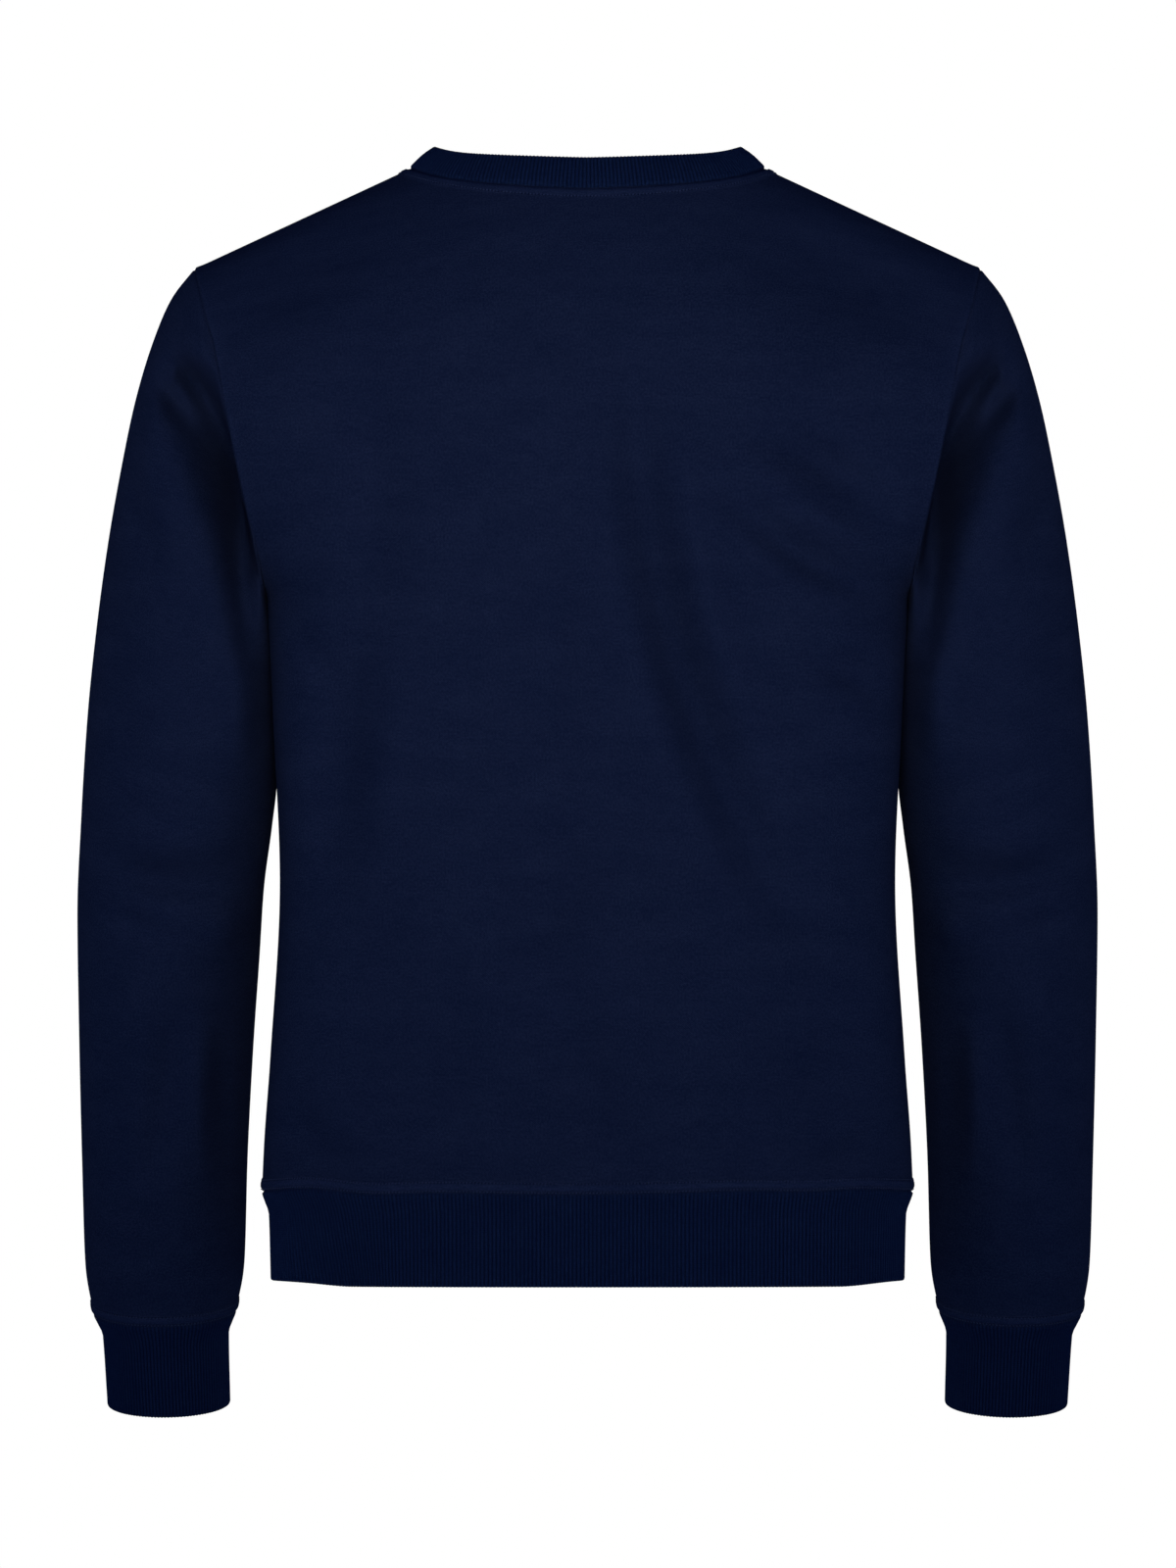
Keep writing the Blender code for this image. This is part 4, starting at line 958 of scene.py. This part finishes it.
def shell_mesh(name, shell, closed, material):
    """A closed wall between a shell's two grids. A tube's cloth coordinates part along its underarm."""
    columns, rows = shell.outer.shape[:2]
    if closed:
        shell = Shell(*(np.roll(grid, columns // 2, axis=0) for grid in shell))
    outer, inner, faces = (grid.reshape(-1, 3) for grid in shell)
    points = np.concatenate((outer, inner))
    normals = np.concatenate((faces, -faces))
    count = columns * rows
    skins = [
        turned_out(points, grid_quads(columns, rows, closed, False, first), normals)
        for first in (0, count)
    ]
    lowest = np.arange(columns) * rows
    rims = [(lowest, closed), (lowest + rows - 1, closed)]
    if closed:
        u = run_lengths(np.concatenate((shell.outer, shell.outer[:1])), 0)
        u = u - u[len(u) // 2]
        v = run_lengths(shell.outer, 1)
        v = v - v[:, -1:]
    else:
        rims += [(np.arange(rows), False), (count - rows + np.arange(rows), False)]
        u, v = panel_uv(shell.outer)
    strips = [match_winding(rim_quads(line, loop, count), skins[0]) for line, loop in rims]
    quads = np.concatenate(skins + strips)
    piece = add_cloth(name, points, quads, corner_uv(quads, u, v, columns, rows), material)
    cloth = bpy.context.scene.sweatshirt_cloth
    stands_up = np.linalg.norm(outer - inner, axis=-1) - cloth.fleece_wall
    band = np.clip(stands_up / cloth.band_raise, 0.0, 1.0)
    add_attribute(piece, "band", np.concatenate((band, 0 * band)))
    return piece


def match_winding(strip, skin):
    """A strip of quads, turned so that it shares its first edge with the skin the opposite way round."""
    first, second = strip[0, 0], strip[0, 1]
    for corner in range(4):
        same = (skin[:, corner] == first) & (skin[:, (corner + 1) % 4] == second)
        if same.any():
            return strip[:, ::-1]
    return strip


RIB_SEAT = 0.0020  # distance from the seam over which a rib's wales rise
RIB_TURN = 0.0100  # and over which it turns from the seam's slope to its own
FOLD_CREST = 0.15  # least share of a wale's height round the folded edge
INNER_CREST = 0.6  # share of it on the inside


def rib_mesh(name, seam, ways, profile, wales, material, mirrored=False):
    """A band of rib knit, folded double at its free edge, with round wales all along it."""
    cloth = bpy.context.scene.sweatshirt_cloth
    wall = cloth.rib_wall
    columns = wales * COLUMNS_PER_WALE
    shares = np.arange(columns) / columns
    start, normal, way = (
        along_loop(seam.points, values, shares) for values in (seam.points, seam.normals, ways)
    )
    normal, way = unit(normal), unit(way)
    face = unit(along_loop(seam.points, band_faces(seam.points, ways, seam.normals), shares))
    depth = profile[-1].along
    radius = wall / 2
    length = depth - radius
    rows = length * shares_of(length, RIB_SPACING, RIB_STEPS, (0.0,))
    wave = np.cos(2 * math.pi * np.arange(columns) / COLUMNS_PER_WALE)
    crest = (1 - (0.5 - 0.5 * wave) ** 2)[:, None]
    lift = cloth.wale_raise * crest

    inward = through(column(profile, "along"), column(profile, "inward"), rows)
    seated = smoothstep(rows / RIB_SEAT)
    rest = -cloth.seam_depth * (1 - seated) - inward
    turned = smoothstep(rows / RIB_TURN)[None, :, None]
    outward = unit(normal[:, None] * (1 - turned) + face[:, None] * turned)
    run = start[:, None] + rows[None, :, None] * way[:, None]
    outer = run + (rest + lift * seated)[..., None] * outward
    turn = math.pi * np.arange(1, FOLD_STEPS) / FOLD_STEPS
    round_way = np.cos(turn)[None, :, None] * face[:, None] + np.sin(turn)[None, :, None] * way[:, None]
    centre = run[:, -1:] - (inward[-1] + radius) * face[:, None]
    fold = centre + (radius + lift * np.clip(np.cos(turn), FOLD_CREST, 1.0))[..., None] * round_way
    inner = run + (rest - wall - INNER_CREST * lift * seated)[..., None] * outward
    points = np.concatenate((outer, fold, inner[:, ::-1]), axis=1)
    faces = np.concatenate((outward, round_way, -outward[:, ::-1]), axis=1)
    if mirrored:
        points, faces = mirror_x(points), mirror_x(faces)
    count = points.shape[1]
    u = np.repeat(run_round(start)[:, None], count, axis=1)
    v = np.tile(run_lengths(points[:1], 1)[0], (columns, 1))
    points, faces = points.reshape(-1, 3), faces.reshape(-1, 3)
    quads = turned_out(points, grid_quads(columns, count, True, True), faces)
    piece = add_cloth(name, points, quads, corner_uv(quads, u, v, columns, count), material)
    # crest height of the wales, by which the rib's colour gets painted shade in the valleys
    add_attribute(piece, "wale", np.repeat(crest, count, axis=1))
    return piece


# Sewing

STITCH_TOP = 0.34  # share of the pitch that a stitch's straight top takes
STITCH_END = 0.13  # and each end, which dips into the cloth
STITCH_DIP = 0.55  # of the ends, as a share of the thread's width
STITCH_TAPER = 0.7  # of the thread, at its ends
STITCH_RISE = 0.30  # of the thread's middle over the cloth, as a share of its width
STITCH_LEAN = 0.35  # turn of a stitch from its row, in radians
THREAD_SIDES = 6
END_FACING = 0.9  # share of an end face's normal along the thread, at the least
HOLE_SIDES = 6
HOLE_NARROWNESS = 0.8  # of a needle hole across its row


def one_stitch(cloth):
    """The points and faces of one stitch along X: a short thread that dips into the cloth at both ends."""
    bpy.ops.object.select_all(action="DESELECT")
    bpy.ops.mesh.primitive_cylinder_add(
        vertices=THREAD_SIDES,
        radius=cloth.thread_width / 2,
        depth=STITCH_TOP * cloth.stitch_pitch,
        end_fill_type="NGON",
        rotation=(0.0, math.pi / 2, 0.0),
    )
    stitch = bpy.context.object
    bpy.ops.object.transform_apply(location=True, rotation=True, scale=True)
    for side in (1.0, -1.0):
        select_faces(stitch, lambda face: face.normal.x * side > END_FACING)
        bpy.ops.object.mode_set(mode="EDIT")
        shift = (side * STITCH_END * cloth.stitch_pitch, 0.0, -STITCH_DIP * cloth.thread_width)
        bpy.ops.mesh.extrude_region_move(TRANSFORM_OT_translate={"value": shift})
        bpy.ops.transform.resize(value=(1.0, STITCH_TAPER, STITCH_TAPER))
        bpy.ops.object.mode_set(mode="OBJECT")
    points = np.array([vertex.co for vertex in stitch.data.vertices])
    faces = [tuple(face.vertices) for face in stitch.data.polygons]
    bpy.data.objects.remove(stitch, do_unlink=True)
    return points, faces


def select_faces(piece, wanted):
    """Selects the faces that pass a test, and nothing else, in face mode."""
    bpy.ops.object.mode_set(mode="EDIT")
    bpy.ops.mesh.select_mode(type="FACE")
    bpy.ops.mesh.select_all(action="DESELECT")
    bpy.ops.object.mode_set(mode="OBJECT")
    for face in piece.data.polygons:
        face.select = wanted(face)


def needle_hole(cloth):
    """The points and faces of one needle hole's painted shadow, midway to the next stitch: a flat dark piece
    with a point in the cloth.
    """
    turn = np.linspace(0.0, 2 * math.pi, HOLE_SIDES, endpoint=False)
    reach = cloth.hole_width / 2
    flat = np.stack((reach * np.cos(turn), HOLE_NARROWNESS * reach * np.sin(turn), 0 * turn), axis=-1)
    points = np.concatenate((flat, [(0.0, 0.0, -cloth.thread_width)]))
    points = points + np.array((cloth.stitch_pitch / 2, 0.0, 0.0))
    sides = [((corner + 1) % HOLE_SIDES, corner, HOLE_SIDES) for corner in range(HOLE_SIDES)]
    return points, [tuple(range(HOLE_SIDES))] + sides


def sew_rows(name, rows, surface, mirrored=False):
    """Rows of stitches and of dark pieces of painted shadow at the needle holes, laid on a surface near the
    closed rows of points given.
    """
    cloth = bpy.context.scene.sweatshirt_cloth
    thread_points, thread_faces = one_stitch(cloth)
    hole_points, hole_faces = needle_hole(cloth)
    points = np.concatenate((thread_points, hole_points))
    faces = thread_faces + [tuple(len(thread_points) + corner for corner in face) for face in hole_faces]
    made_points, made_faces = [], []
    for loop in rows:
        count = round(run_round(loop)[-1] / cloth.stitch_pitch)
        places = along_loop(loop, loop, np.arange(count) / count)
        for place, way in zip(places, tangents(places)):
            spot, normal, _, _ = surface.find_nearest(Vector(place))
            normal = np.array(normal)
            along = square_to(way, normal)
            turned = math.cos(STITCH_LEAN) * along + math.sin(STITCH_LEAN) * np.cross(normal, along)
            axes = np.stack((turned, np.cross(normal, turned), normal))
            base = np.array(spot) + STITCH_RISE * cloth.thread_width * normal
            first = len(made_points) * len(points)
            made_points.append(base + points @ axes)
            made_faces += [tuple(first + corner for corner in face) for face in faces]
    kinds = np.tile([0] * len(thread_faces) + [1] * len(hole_faces), len(made_points))
    made = np.concatenate(made_points)
    if mirrored:
        made = mirror_x(made)
        made_faces = [face[::-1] for face in made_faces]
    piece = add_piece(name, made, made_faces, finishes()["thread"], finishes()["hole"])
    piece.data.polygons.foreach_set("material_index", kinds)
    piece.data.polygons.foreach_set("use_smooth", kinds == 0)
    return piece


def outer_surface(*shells):
    """A search tree of shells' outer skins."""
    points, quads, first = [], [], 0
    for shell in shells:
        columns, rows = shell.outer.shape[:2]
        outer, faces = shell.outer.reshape(-1, 3), shell.faces.reshape(-1, 3)
        points.append(outer)
        quads.append(first + turned_out(outer, grid_quads(columns, rows, False, False), faces))
        first += len(outer)
    return BVHTree.FromPolygons(np.concatenate(points).tolist(), np.concatenate(quads).tolist())


ROW_SMOOTHING = 4  # rounds that take out a row's small corners


def row_beside(seam, distance):
    """A closed row of points at a distance back from a seam, on the piece that it is sewn to."""
    row = seam.points - distance * seam.onward
    for _ in range(ROW_SMOOTHING):
        row = (np.roll(row, 1, axis=0) + 2 * row + np.roll(row, -1, axis=0)) / 4
    return row


# Materials


def new_material(name):
    """A material with its Principled shader."""
    material = bpy.data.materials.new(name)
    material.use_nodes = True
    return material, material.node_tree, material.node_tree.nodes["Principled BSDF"]


def feed(tree, node, **values):
    """Gives a node's inputs their values, or their links, which are given as sockets."""
    for name, value in values.items():
        key = int(name[1:]) if name[0] == "i" and name[1:].isdigit() else name.replace("_", " ")
        if isinstance(value, bpy.types.NodeSocket):
            tree.links.new(value, node.inputs[key])
        else:
            node.inputs[key].default_value = value


def add_node(tree, kind, settings=None, **values):
    """A node with its settings, and with its inputs fed."""
    node = tree.nodes.new(kind)
    for name, value in (settings or {}).items():
        setattr(node, name, value)
    feed(tree, node, **values)
    return node


def math_node(tree, operation, first, second=0.0, third=0.0):
    """The result of a math node."""
    node = add_node(tree, "ShaderNodeMath", {"operation": operation}, i0=first, i1=second, i2=third)
    return node.outputs[0]


def noise_on_object(tree, scale, detail):
    """Noise in a piece's own space."""
    place = add_node(tree, "ShaderNodeTexCoord").outputs["Object"]
    return add_node(tree, "ShaderNodeTexNoise", Vector=place, Scale=scale, Detail=detail).outputs["Fac"]


# Noise on the cloth, by the size of its grains along and across the rows of loops in metres
Grain = collections.namedtuple("Grain", "along across detail roughness")
WANDER = Grain(0.0035, 0.0035, 2.0, 0.60)  # of the rows of loops
PATCH = Grain(0.016, 0.012, 1.0, 0.60)  # in which the rows slant one way
FIBRE = Grain(0.00108, 0.00104, 2.0, 0.65)
STREAK = Grain(0.0080, 0.0016, 2.0, 0.60)
MOTTLE = Grain(0.050, 0.016, 2.0, 0.60)
WANDER_TURNS = 1.2  # of the rows' wave, by which the rows wander
LOOP_HEIGHT = 0.30  # of the rows of loops, where the fibres have 1
FIBRE_SHARE, STREAK_SHARE, MOTTLE_SHARE, LOOP_SHARE = 0.68, 0.18, 0.14, 0.070  # of the heather
DARK_AT, PALE_AT = 0.38, 0.68  # heather of the darkest and the palest fibres
DARK_FIBRE = np.array((0.84, 0.94, 1.05))  # and their tints
PALE_FIBRE = np.array((1.18, 1.07, 0.94))
DARKER, PALER = 0.62, 1.30  # how much darker and paler they are, as shares of the contrast

Knit = collections.namedtuple("Knit", "contrast pitch slant bump")
FLEECE_KNIT = Knit(0.42, 0.00120, 0.85, 0.00006)
RIB_KNIT = Knit(0.26, 0.00120, 0.0, 0.00007)
VALLEY_PAINTED_SHADE = 0.50  # painted shade: share of the rib's colour left between its wales
BAND_SHADE = 1.20  # of the fleece's colour where the strip beside a rib stands up
SHADE_FULL = 0.8  # height of a wale or a band from which it has its full colour
THREAD_GRAIN, HOLE_GRAIN, FLOOR_GRAIN = 6000.0, 3000.0, 3.0  # grains to the metre
TWIST_BUMP = 0.0001  # height of the thread's twist
MATT = 0.95  # roughness of the cloth and the needle holes
HOLE_DARK, HOLE_PALE, FLOOR_SHADE = 0.5, 1.5, 0.98  # of the hole's and the floor's colours


def noise_on_cloth(tree, uv, grain):
    """Noise on the cloth's own coordinates."""
    scale = (1 / grain.along, 1 / grain.across, 1.0)
    place = add_node(tree, "ShaderNodeMapping", {"vector_type": "POINT"}, Vector=uv, Scale=scale).outputs[0]
    flat = {"noise_dimensions": "2D"}
    sizes = {"Scale": 1.0, "Detail": grain.detail, "Roughness": grain.roughness}
    return add_node(tree, "ShaderNodeTexNoise", flat, Vector=place, **sizes).outputs["Fac"]


def two_tones(tree, share, dark, pale, dark_at=0.0, pale_at=1.0):
    """A colour that goes from one tone to another by a share."""
    ramp = add_node(tree, "ShaderNodeValToRGB", i0=share)
    for element, tone, place in zip(ramp.color_ramp.elements, (dark, pale), (dark_at, pale_at)):
        element.position = place
        element.color = (*tone[:3], 1.0)
    return ramp.outputs[0]


def jersey_group():
    """Face of a fleece-backed jersey: slanting rows of knit loops, with a heather of paler fibres."""
    group = bpy.data.node_groups.new("jersey_face", "ShaderNodeTree")
    for name in ("Pitch", "Slant"):
        group.interface.new_socket(name, in_out="INPUT", socket_type="NodeSocketFloat")
    for name in ("Height", "Heather"):
        group.interface.new_socket(name, in_out="OUTPUT", socket_type="NodeSocketFloat")
    given = group.nodes.new("NodeGroupInput").outputs
    uv = add_node(group, "ShaderNodeUVMap", {"uv_map": "UVMap"}).outputs[0]
    place = add_node(group, "ShaderNodeSeparateXYZ", Vector=uv).outputs
    result = functools.partial(math_node, group)
    wander = noise_on_cloth(group, uv, WANDER)
    twills = []
    for way in (1.0, -1.0):
        slanted = result("MULTIPLY_ADD", place[0], result("MULTIPLY", given["Slant"], way), place[1])
        turns = result("DIVIDE", slanted, given["Pitch"])
        turns = result("MULTIPLY_ADD", wander, WANDER_TURNS * way, turns)
        twills.append(result("SINE", result("MULTIPLY", turns, 2 * math.pi)))
    patch = noise_on_cloth(group, uv, PATCH)
    rising = result("MULTIPLY", twills[0], patch)
    falling = result("MULTIPLY", twills[1], result("SUBTRACT", 1.0, patch))
    loops = result("ADD", rising, falling)
    fibre = noise_on_cloth(group, uv, FIBRE)
    heather = result("MULTIPLY", noise_on_cloth(group, uv, STREAK), STREAK_SHARE)
    mottle = noise_on_cloth(group, uv, MOTTLE)
    for part, share in ((fibre, FIBRE_SHARE), (mottle, MOTTLE_SHARE), (loops, LOOP_SHARE)):
        heather = result("MULTIPLY_ADD", part, share, heather)
    height = result("MULTIPLY_ADD", loops, LOOP_HEIGHT, fibre)
    add_node(group, "NodeGroupOutput", Height=height, Heather=heather)
    return group


def new_knit(name, group, colour, knit):
    """A matt knit's material, with its colour, bump and nap from the jersey group."""
    material, tree, shader = new_material(name)
    face = add_node(tree, "ShaderNodeGroup", {"node_tree": group}, Pitch=knit.pitch, Slant=knit.slant)
    plain = np.array(colour[:3])
    dark = plain * (1 - DARKER * knit.contrast) * DARK_FIBRE
    pale = plain * (1 + PALER * knit.contrast) * PALE_FIBRE
    tone = two_tones(tree, face.outputs["Heather"], dark, pale, DARK_AT, PALE_AT)
    relief = add_node(tree, "ShaderNodeBump", Height=face.outputs["Height"], Distance=knit.bump, Strength=1.0)
    feed(tree, shader, Base_Color=tone, Normal=relief.outputs[0], Roughness=MATT, Specular_IOR_Level=0.0)
    feed(tree, shader, Sheen_Weight=0.004, Sheen_Roughness=0.55, Sheen_Tint=(0.75, 0.80, 1.0, 1.0))
    return material, tree, shader


def shade_by(tree, shader, attribute, least, most):
    """Multiplies the cloth's colour by an amount that goes with an attribute of the mesh."""
    share = add_node(tree, "ShaderNodeAttribute", {"attribute_name": attribute}).outputs["Fac"]
    amount = add_node(
        tree, "ShaderNodeMapRange", Value=share, From_Min=0.0, From_Max=SHADE_FULL, To_Min=least, To_Max=most
    ).outputs[0]
    plain = shader.inputs["Base Color"].links[0].from_socket
    multiply = {"data_type": "RGBA", "blend_type": "MULTIPLY"}
    shaded = add_node(tree, "ShaderNodeMix", multiply, i0=1.0, i6=plain, i7=amount)
    feed(tree, shader, Base_Color=shaded.outputs[2])


def fleece_finish(group, colour):
    """The fleece, which is paler where the strip beside a rib stands up."""
    material, tree, shader = new_knit("navy_fleece", group, colour, FLEECE_KNIT)
    shade_by(tree, shader, "band", 1.0, BAND_SHADE)
    return material


def rib_finish(group, colour):
    """The rib, with painted shade darkening it between its wales."""
    material, tree, shader = new_knit("navy_rib", group, colour, RIB_KNIT)
    shade_by(tree, shader, "wale", VALLEY_PAINTED_SHADE, 1.0)
    return material


def thread_finish(colour):
    """The sewing thread, with a fine twist; its colour is paler than the fleece, partly its own colour and
    partly painted sheen.
    """
    material, tree, shader = new_material("navy_thread")
    twist = noise_on_object(tree, THREAD_GRAIN, 1.0)
    relief = add_node(tree, "ShaderNodeBump", Height=twist, Distance=TWIST_BUMP, Strength=0.6)
    feed(tree, shader, Base_Color=colour, Normal=relief.outputs[0], Roughness=0.85, Specular_IOR_Level=0.02)
    return material


def hole_finish(colour):
    """The shadow in a needle hole."""
    material, tree, shader = new_material("needle_hole")
    shadow = np.array(colour)
    tone = two_tones(tree, noise_on_object(tree, HOLE_GRAIN, 1.0), HOLE_DARK * shadow, HOLE_PALE * shadow)
    feed(tree, shader, Base_Color=tone, Roughness=MATT, Specular_IOR_Level=0.0)
    return material


@functools.lru_cache(maxsize=1)
def finishes():
    """The materials of the cloth and the sewing, by name."""
    colours = bpy.context.scene.sweatshirt_colours
    group = jersey_group()
    return {
        "fleece": fleece_finish(group, colours.fleece),
        "rib": rib_finish(group, colours.rib),
        "thread": thread_finish(colours.thread),
        "hole": hole_finish(colours.hole),
    }


# Operators


def keep(piece, slot, *nodes):
    """A finished piece rides with the garment and stands for its nodes."""
    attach(piece, "root")
    if nodes:
        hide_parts(*nodes)
    return piece


def add_rib(name, node, seam, profile, wales, mirrored=False):
    """A band of rib round one opening, which stands for its node."""
    form = garment_form()
    band = rib_mesh(name, form.seams[seam], form.ways[seam], profile, wales, finishes()["rib"], mirrored)
    return keep(band, "rib", node)


class SWEATSHIRT_OT_panels(bpy.types.Operator):
    """Adds the back and the front"""

    bl_idname = "sweatshirt.panels"
    bl_label = "Back and Front"

    def execute(self, context):
        form = garment_form()
        fleece = finishes()["fleece"]
        back = keep(shell_mesh("back_panel", form.back, False, fleece), "fleece", "body_back")
        front = keep(shell_mesh("front_panel", form.front, False, fleece), "fleece", "body_front")
        return {"FINISHED"}


class SWEATSHIRT_OT_sleeves(bpy.types.Operator):
    """Adds both sleeves"""

    bl_idname = "sweatshirt.sleeves"
    bl_label = "Sleeves"

    def execute(self, context):
        shell = garment_form().sleeve
        other = Shell(*(mirror_x(grid) for grid in shell))
        fleece = finishes()["fleece"]
        sides = (("left_sleeve", "sleeve_left", shell), ("right_sleeve", "sleeve_right", other))
        for name, node, own in sides:
            sleeve = keep(shell_mesh(name, own, True, fleece), "fleece", node)
        return {"FINISHED"}


class SWEATSHIRT_OT_neck(bpy.types.Operator):
    """Adds the neck rib"""

    bl_idname = "sweatshirt.neck"
    bl_label = "Neck Rib"

    def execute(self, context):
        wales = context.scene.sweatshirt_cloth.neck_wales
        neck = add_rib("neck_ribbing", "neck_rib", "neck", NECK_PROFILE, wales)
        return {"FINISHED"}


class SWEATSHIRT_OT_hem(bpy.types.Operator):
    """Adds the hem rib"""

    bl_idname = "sweatshirt.hem"
    bl_label = "Hem Rib"

    def execute(self, context):
        wales = context.scene.sweatshirt_cloth.hem_wales
        hem = add_rib("hem_ribbing", "hem_rib", "hem", HEM_PROFILE, wales)
        return {"FINISHED"}


class SWEATSHIRT_OT_cuffs(bpy.types.Operator):
    """Adds both cuffs"""

    bl_idname = "sweatshirt.cuffs"
    bl_label = "Cuffs"

    def execute(self, context):
        wales = context.scene.sweatshirt_cloth.cuff_wales
        for name, node, mirrored in (("left_cuff", "cuff_left", False), ("right_cuff", "cuff_right", True)):
            cuff = add_rib(name, node, "cuff", CUFF_PROFILE, wales, mirrored)
        return {"FINISHED"}


class SWEATSHIRT_OT_stitches(bpy.types.Operator):
    """Sews the rows of stitches beside the ribs"""

    bl_idname = "sweatshirt.stitches"
    bl_label = "Stitches"

    def execute(self, context):
        form = garment_form()
        cloth = context.scene.sweatshirt_cloth
        body = outer_surface(form.back, form.front)
        near, far = stitch_rows(cloth)
        hem = [row_beside(form.seams["hem"], distance) for distance in (near, far)]
        keep(sew_rows("hem_stitches", hem, body), "fleece")
        neck = [row_beside(form.seams["neck"], far)]
        keep(sew_rows("neck_stitches", neck, body), "fleece")
        sleeve = outer_surface(form.sleeve)
        cuff = [row_beside(form.seams["cuff"], distance) for distance in (near, far)]
        for name, mirrored in (("left_cuff_stitches", False), ("right_cuff_stitches", True)):
            keep(sew_rows(name, cuff, sleeve, mirrored), "fleece")
        return {"FINISHED"}


def add_softbox(name, place, aim, power, size, spread):
    """A square area light, whose light fades out within its spread away from its aim."""
    data = bpy.data.lights.new(name, "AREA")
    data.shape = "SQUARE"
    data.size = size
    data.energy = power
    data.spread = spread
    light = bpy.data.objects.new(name, data)
    light.location = place
    light.rotation_euler = (Vector(aim) - Vector(place)).to_track_quat("-Z", "Y").to_euler()
    light.visible_camera = False
    bpy.context.scene.collection.objects.link(light)


def light_world(ambient, tint):
    """A white backdrop, and a softer even light of the given tint."""
    world = bpy.data.worlds.new("studio")
    world.use_nodes = True
    tree = world.node_tree
    backdrop = tree.nodes["Background"]
    backdrop.inputs["Color"].default_value = (1.0, 1.0, 1.0, 1.0)
    soft = add_node(tree, "ShaderNodeBackground", Color=tint, Strength=ambient)
    seen = add_node(tree, "ShaderNodeLightPath").outputs["Is Camera Ray"]
    mix = add_node(tree, "ShaderNodeMixShader", i0=seen, i1=soft.outputs[0], i2=backdrop.outputs[0])
    tree.links.new(mix.outputs[0], tree.nodes["World Output"].inputs["Surface"])
    bpy.context.scene.world = world


LIGHT_AIM = (0.0, 0.0, -0.12)
LIGHT_RISE = -0.32  # of the lights over their aim


def add_lights(stage):
    """A middle light and two side lights behind the garment, and the same before it."""
    lights = (
        ("key", 0.0, stage.key_power, stage.key_spread),
        ("left", stage.side_turn, stage.side_power, stage.side_spread),
        ("right", -stage.side_turn, stage.side_power, stage.side_spread),
    )
    for end, reach in (("back", stage.light_distance), ("front", -stage.light_distance)):
        for name, turn, power, spread in lights:
            place = (reach * math.sin(turn), reach * math.cos(turn), LIGHT_AIM[2] + LIGHT_RISE)
            add_softbox(f"{end}_{name}", place, LIGHT_AIM, power, stage.light_size, spread)


def add_floor(stage, colour):
    """A pale floor, which glows a little and throws no light on the garment."""
    bpy.ops.object.select_all(action="DESELECT")
    bpy.ops.mesh.primitive_plane_add(size=2 * stage.floor_half_width, location=(0.0, 0.0, -stage.floor_drop))
    floor = bpy.context.object
    floor.name = "floor"
    bpy.ops.object.transform_apply(location=True, rotation=True, scale=True)
    material, tree, shader = new_material("pale_floor")
    pale = np.array(colour)
    tone = two_tones(tree, noise_on_object(tree, FLOOR_GRAIN, 2.0), pale, FLOOR_SHADE * pale)
    feed(tree, shader, Base_Color=tone, Roughness=0.9)
    feed(tree, shader, Emission_Color=tone, Emission_Strength=stage.floor_glow)
    floor.data.materials.append(material)
    floor.visible_diffuse = False
    return floor


def add_camera(stage):
    """The camera behind the garment, level and square to it."""
    data = bpy.data.cameras.new("camera")
    data.lens = data.sensor_width * stage.camera_distance / stage.frame_height
    data.clip_end = 4 * stage.camera_distance
    camera = bpy.data.objects.new("camera", data)
    camera.location = (stage.camera_aside, stage.camera_distance, stage.camera_height)
    camera.rotation_euler = (math.pi / 2, 0.0, math.pi)
    bpy.context.scene.collection.objects.link(camera)
    return camera


class SWEATSHIRT_OT_stage(bpy.types.Operator):
    """Adds the floor, the light and the camera behind the garment"""

    bl_idname = "sweatshirt.stage"
    bl_label = "Stage"

    def execute(self, context):
        stage = context.scene.sweatshirt_stage
        floor = add_floor(stage, context.scene.sweatshirt_colours.floor)
        light_world(stage.ambient, stage.ambient_tint)
        add_lights(stage)
        context.scene.camera = add_camera(stage)
        context.scene.view_settings.view_transform = "Standard"
        return {"FINISHED"}


class SWEATSHIRT_PT_sidebar(bpy.types.Panel):
    """Adds the pieces of the sweatshirt, and shows its settings"""

    bl_label = "Sweatshirt"
    bl_idname = "SWEATSHIRT_PT_sidebar"
    bl_space_type = "VIEW_3D"
    bl_region_type = "UI"
    bl_category = "Sweatshirt"

    def draw(self, context):
        for operator in OPERATORS:
            self.layout.operator(operator.bl_idname)
        for group_name in GROUPS:
            group = getattr(context.scene, group_name)
            box = self.layout.box()
            for name in group.bl_rna.properties.keys():
                if name not in ("rna_type", "name"):
                    box.prop(group, name)


OPERATORS = (
    SWEATSHIRT_OT_panels,
    SWEATSHIRT_OT_sleeves,
    SWEATSHIRT_OT_neck,
    SWEATSHIRT_OT_hem,
    SWEATSHIRT_OT_cuffs,
    SWEATSHIRT_OT_stitches,
    SWEATSHIRT_OT_stage,
)
GROUPS = {
    "sweatshirt_cloth": SweatshirtCloth,
    "sweatshirt_colours": SweatshirtColours,
    "sweatshirt_stage": SweatshirtStage,
}


def register():
    """Adds the settings, the operators and the panel to Blender."""
    for name, group in GROUPS.items():
        bpy.utils.register_class(group)
        setattr(bpy.types.Scene, name, PointerProperty(type=group))
    for operator in OPERATORS:
        bpy.utils.register_class(operator)
    bpy.utils.register_class(SWEATSHIRT_PT_sidebar)


def unregister():
    """Takes the panel, the operators and the settings out again."""
    bpy.utils.unregister_class(SWEATSHIRT_PT_sidebar)
    for operator in reversed(OPERATORS):
        bpy.utils.unregister_class(operator)
    for name, group in GROUPS.items():
        delattr(bpy.types.Scene, name)
        bpy.utils.unregister_class(group)


def main():
    """Builds the sweatshirt and its stage."""
    register()
    bpy.ops.sweatshirt.panels()
    bpy.ops.sweatshirt.sleeves()
    bpy.ops.sweatshirt.neck()
    bpy.ops.sweatshirt.hem()
    bpy.ops.sweatshirt.cuffs()
    bpy.ops.sweatshirt.stitches()
    bpy.ops.sweatshirt.stage()


if __name__ == "__main__":
    main()
